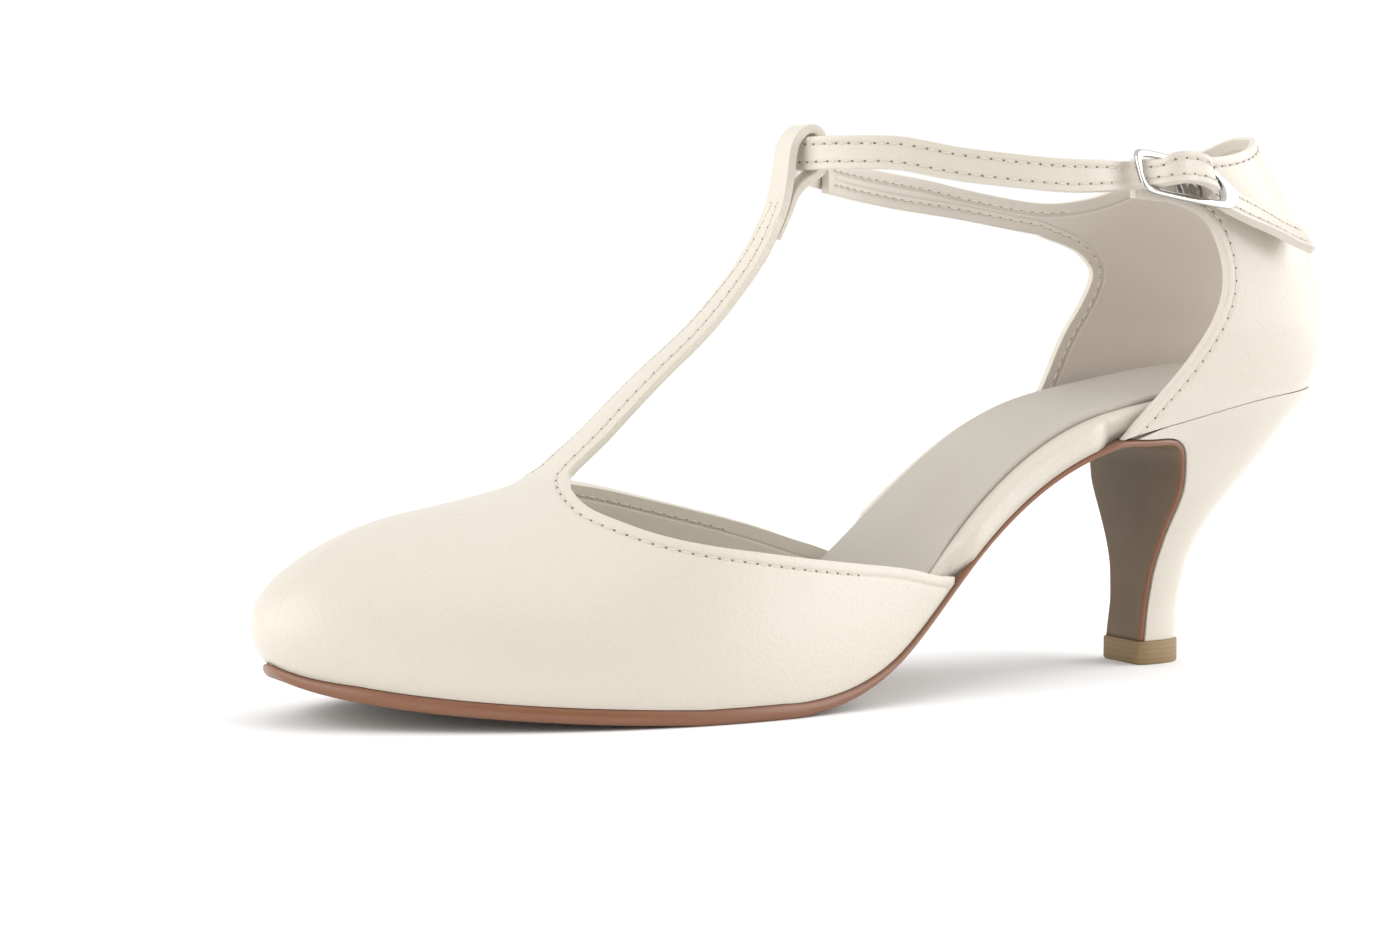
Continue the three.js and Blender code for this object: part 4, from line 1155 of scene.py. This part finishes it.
def makeBuckle(sizes):
    bm = bmesh.new()
    section = [(.14, -1), (0, -.4), (0, .4), (.14, 1), (.86, 1), (1, .4), (1, -.4), (.86, -1)]
    windowHalf = sizes["height"] / 2 - sizes["bar"]
    rows = []
    for a, up, tip in zip(sizes["along"], sizes["up"], sizes["tip"]):
        outer = (mix(-sizes["reach"], sizes["corner"], a) + sizes["point"] * tip, sizes["height"] / 2 * up)
        inner = (mix(-sizes["reach"] + sizes["bar"], sizes["window"], a), windowHalf * up)
        row = []
        for f, t in section:
            u = mix(outer[0], inner[0], f)
            out = 0.5 + 1.6 * (u / 13) ** 2 + sizes["thick"] / 2 * t
            row.append(onAnkle(u, mix(outer[1], inner[1], f), out))
        rows.append(row)
    rowsToSheet(bm, rows + [rows[0]], True)
    bars = []
    halfFrame = sizes["height"] / 2 - sizes["bar"] / 2
    for f, out in ((-1, .4), (-.68, -.3), (0, -.5), (.68, -.3), (1, .4)):
        bars.append([onAnkle(0.5 + 0.8 * math.cos(math.pi / 4 * (k + .5)), halfFrame * f,
                             out + 0.75 * math.sin(math.pi / 4 * (k + .5))) for k in range(8)])
    rowsToSheet(bm, bars, True)
    joinSheets(bm)
    finishPiece(bm, "framePiece", [metal], ["buckle_frame"], smooth=2)


def makePlate(sizes):
    bm = bmesh.new()
    long, high, thick = sizes["plate"]

    def loop(halfU, halfW, power, at, out):
        points = []
        for k in range(40):
            a = math.pi * 2 * k / 40
            c = math.copysign(abs(math.cos(a)) ** power, math.cos(a))
            s = math.copysign(abs(math.sin(a)) ** power, math.sin(a))
            points.append(onAnkle(at[0] + c * halfU, at[1] + s * halfW, out))
        return points
    at, low = sizes["plateAt"], sizes["plateOut"]
    rowsToSheet(bm, [loop(long / 2 * r, high / 2 * r, 0.6, at, low + h)
                     for r, h in ((0.02, 0), (0.9, 0), (1, 0.15), (1, thick - .15), (0.95, thick),
                                  (0.02, thick))], True)
    snapAt = (at[0] + 0.6, at[1] - 0.6)
    r0, h0 = sizes["snap"], sizes["snapHeight"]
    steps = ((1.25, thick - .1), (1.25, thick + .12), (1.05, thick + .2), (1, h0), (.85, h0 + .3),
             (.6, h0 + .4), (.55, h0 + .1), (.4, h0 + .05), (.02, h0 + .1))
    rowsToSheet(bm, [loop(r0 * r, r0 * r, 1, snapAt, low + h) for r, h in steps], True)
    capSheets(bm)
    finishPiece(bm, "platePiece", [darkMetal], ["buckle_plate"])


makeBuckle(buckleSizes)
makePlate(buckleSizes)
print("buckle made")

stitchSizes = {
    "pitch": 2.6, "length": 1.8, "width": 0.46, "height": 0.3, "holeShade": 0.25,
    "vampInset": 2.3, "quarterInset": 2.1, "strapInset": 1.5,
    "vampTop": 99, "vampBack": -90,     # the vamp's rows end at this height and this far back
    "collarFore": -6, "collarLow": 96,  # behind and above these the lining hides the seam
    "lot": 40,
}


def insetPath(points, distance, tree, near):
    # a line of points carried inwards over the leather from an edge
    out = []
    for i, p in enumerate(points):
        t = (points[min(i + 2, len(points) - 1)] - points[max(i - 2, 0)]).normalized()
        n = tree.find_nearest(p * mm)[1]
        best = None
        for sign in (-1, 1):
            q = tree.find_nearest((p + n.cross(t).normalized() * (sign * distance)) * mm)[0] / mm
            if best is None or (q - p).length > (best - p).length:
                best = q
        if near(best) > distance * 0.86:
            out.append(best)
    return out


def stitchPlaces(path, tree, wall, sizes=stitchSizes):
    # a thread and a dark disc of painted shade for the needle hole at every stitch, on the face and on the
    # lining
    spots = resample(path, sizes["pitch"])
    places = []
    for a, b in zip(spots, spots[1:]):
        gap = (b - a).length
        if gap > sizes["pitch"] * 1.6 or gap < 0.5:
            continue
        place, n, _, _ = tree.find_nearest(a.lerp(b, 0.5) * mm)
        place = place / mm
        t = (b - a).normalized()
        t = (t - n * t.dot(n)).normalized()
        turned = Matrix((t, n.cross(t), n)).transposed().to_4x4()
        thread = Matrix.Diagonal((sizes["length"] / 2, sizes["width"] / 2, sizes["height"] / 2, 1))
        faces = ((0, n, 1.0), (-wall, -n, 0.7))
        if place.x > sizes["collarFore"] and place.z > sizes["collarLow"]:
            faces = faces[:1]
        for drop, face, holeShade in faces:
            at = Matrix.Scale(mm, 4) @ Matrix.Translation(place + n * drop + face * 0.015) @ turned
            places.append((at @ thread, 0, 6))
            at = Matrix.Scale(mm, 4) @ Matrix.Translation(place + n * drop - t * gap / 2 + face * 0.03)
            r = sizes["holeShade"] * holeShade
            places.append((at @ turned @ Matrix.Diagonal((r * 1.25, r * 0.9, 0.04, 1)), 1, 7))
    return places


def sewPiece(name, rows, count=stitchSizes["lot"]):
    # stitches are stamped in small lots, then joined in one mesh
    whole = bmesh.new()
    places = [place for path, tree, wall in rows for place in stitchPlaces(path, tree, wall)]
    for start in range(0, len(places), count):
        lot = bmesh.new()
        for matrix, material, around in places[start:start + count]:
            made = bmesh.ops.create_uvsphere(lot, u_segments=around, v_segments=4, radius=1, matrix=matrix)
            for f in {f for vert in made["verts"] for f in vert.link_faces}:
                f.material_index = material
        mesh = bpy.data.meshes.new("lot")
        lot.to_mesh(mesh)
        lot.free()
        whole.from_mesh(mesh)
        bpy.data.meshes.remove(mesh)
    finishPiece(whole, name, [thread, holeShade], ())


def makeStitches(sizes):
    rows = [(insetPath([p for p in line if p.z < sizes["vampTop"] and p.x < sizes["vampBack"]],
                       sizes["vampInset"], vampTree, vampNear), vampTree, vampSizes["wall"])
            for line in vampEdges]
    sewPiece("vampStitches", rows)
    rows = [(insetPath(line, sizes["quarterInset"], quarterTree, quarterNear), quarterTree,
             quarterSizes["wall"]) for (kind, side), line in quarterEdges.items() if kind != "end"]
    sewPiece("quarterStitches", rows)
    rows = [(insetPath(line[4:-4], sizes["strapInset"], strapTree, strapNear), strapTree,
             strapSizes["wall"]) for line in strapEdges]
    sewPiece("strapStitches", rows)


makeStitches(stitchSizes)
print("stitches made")

stageSetup = {
    "floor": (0.97, 0.97, 0.97, 1), "floorHalf": 6, "world": 0.8, "exposure": 0.33,
    # direction that the light comes from, strength, softness in degrees
    "lamps": (("leftLight", (-1.0, -0.1, 0.35), 1.7, 70), ("rightLight", (1.0, -0.4, 0.3), 2.2, 70)),
    # the dark opening that the camera looks through, which the leather and metal mirror:
    # place, width, height
    "cards": (("cameraCard", (-0.25, -1.15, 0.5), 1.3, 1.0),),
}


def makeStage(setup):
    bm = bmesh.new()
    bmesh.ops.create_grid(bm, x_segments=1, y_segments=1, size=setup["floorHalf"])
    f = Finish("floorPaper")
    tone = f.colours(f.noise(f.places(), 3.0, 2.0) * 0.02, setup["floor"], (0.9, 0.9, 0.9, 1))
    placeMesh(bm, "floor", [f.surface(Base_Color=tone, Roughness=0.85)])
    world = bpy.data.worlds.new("studio")
    world.use_nodes = True
    shade = world.node_tree.nodes["Background"]
    shade.inputs[0].default_value = (1, 1, 1, 1)
    shade.inputs[1].default_value = setup["world"]
    bpy.context.scene.world = world
    for name, toward, power, soft in setup["lamps"]:
        data = bpy.data.lights.new(name, "SUN")
        data.energy, data.angle = power, math.radians(soft)
        lamp = bpy.data.objects.new(name, data)
        lamp.location = Vector(toward)
        lamp.rotation_mode = "QUATERNION"
        lamp.rotation_quaternion = Vector(toward).to_track_quat("Z", "Y")
        bpy.context.collection.objects.link(lamp)
    f = Finish("darkCard")
    dark = f.surface(Base_Color=f.colours(f.noise(f.places(), 4.0, 2.0) * 0.2, (0.02, 0.02, 0.02, 1),
                                          (0.04, 0.04, 0.04, 1)), Roughness=0.9)
    for name, place, wide, high in setup["cards"]:
        bm = bmesh.new()
        facing = (Vector((-0.01, -0.03, 0.1)) - Vector(place)).to_track_quat("Z", "Y").to_matrix().to_4x4()
        bmesh.ops.create_grid(bm, x_segments=1, y_segments=1, size=0.5,
                              matrix=Matrix.Translation(place) @ facing @ Matrix.Diagonal((wide, high, 1, 1)))
        card = placeMesh(bm, name, [dark])
        card.visible_camera = False
    view = bpy.context.scene.view_settings
    view.view_transform = "Standard"
    view.look = "None"
    view.exposure = setup["exposure"]


makeStage(stageSetup)
print("stage made")
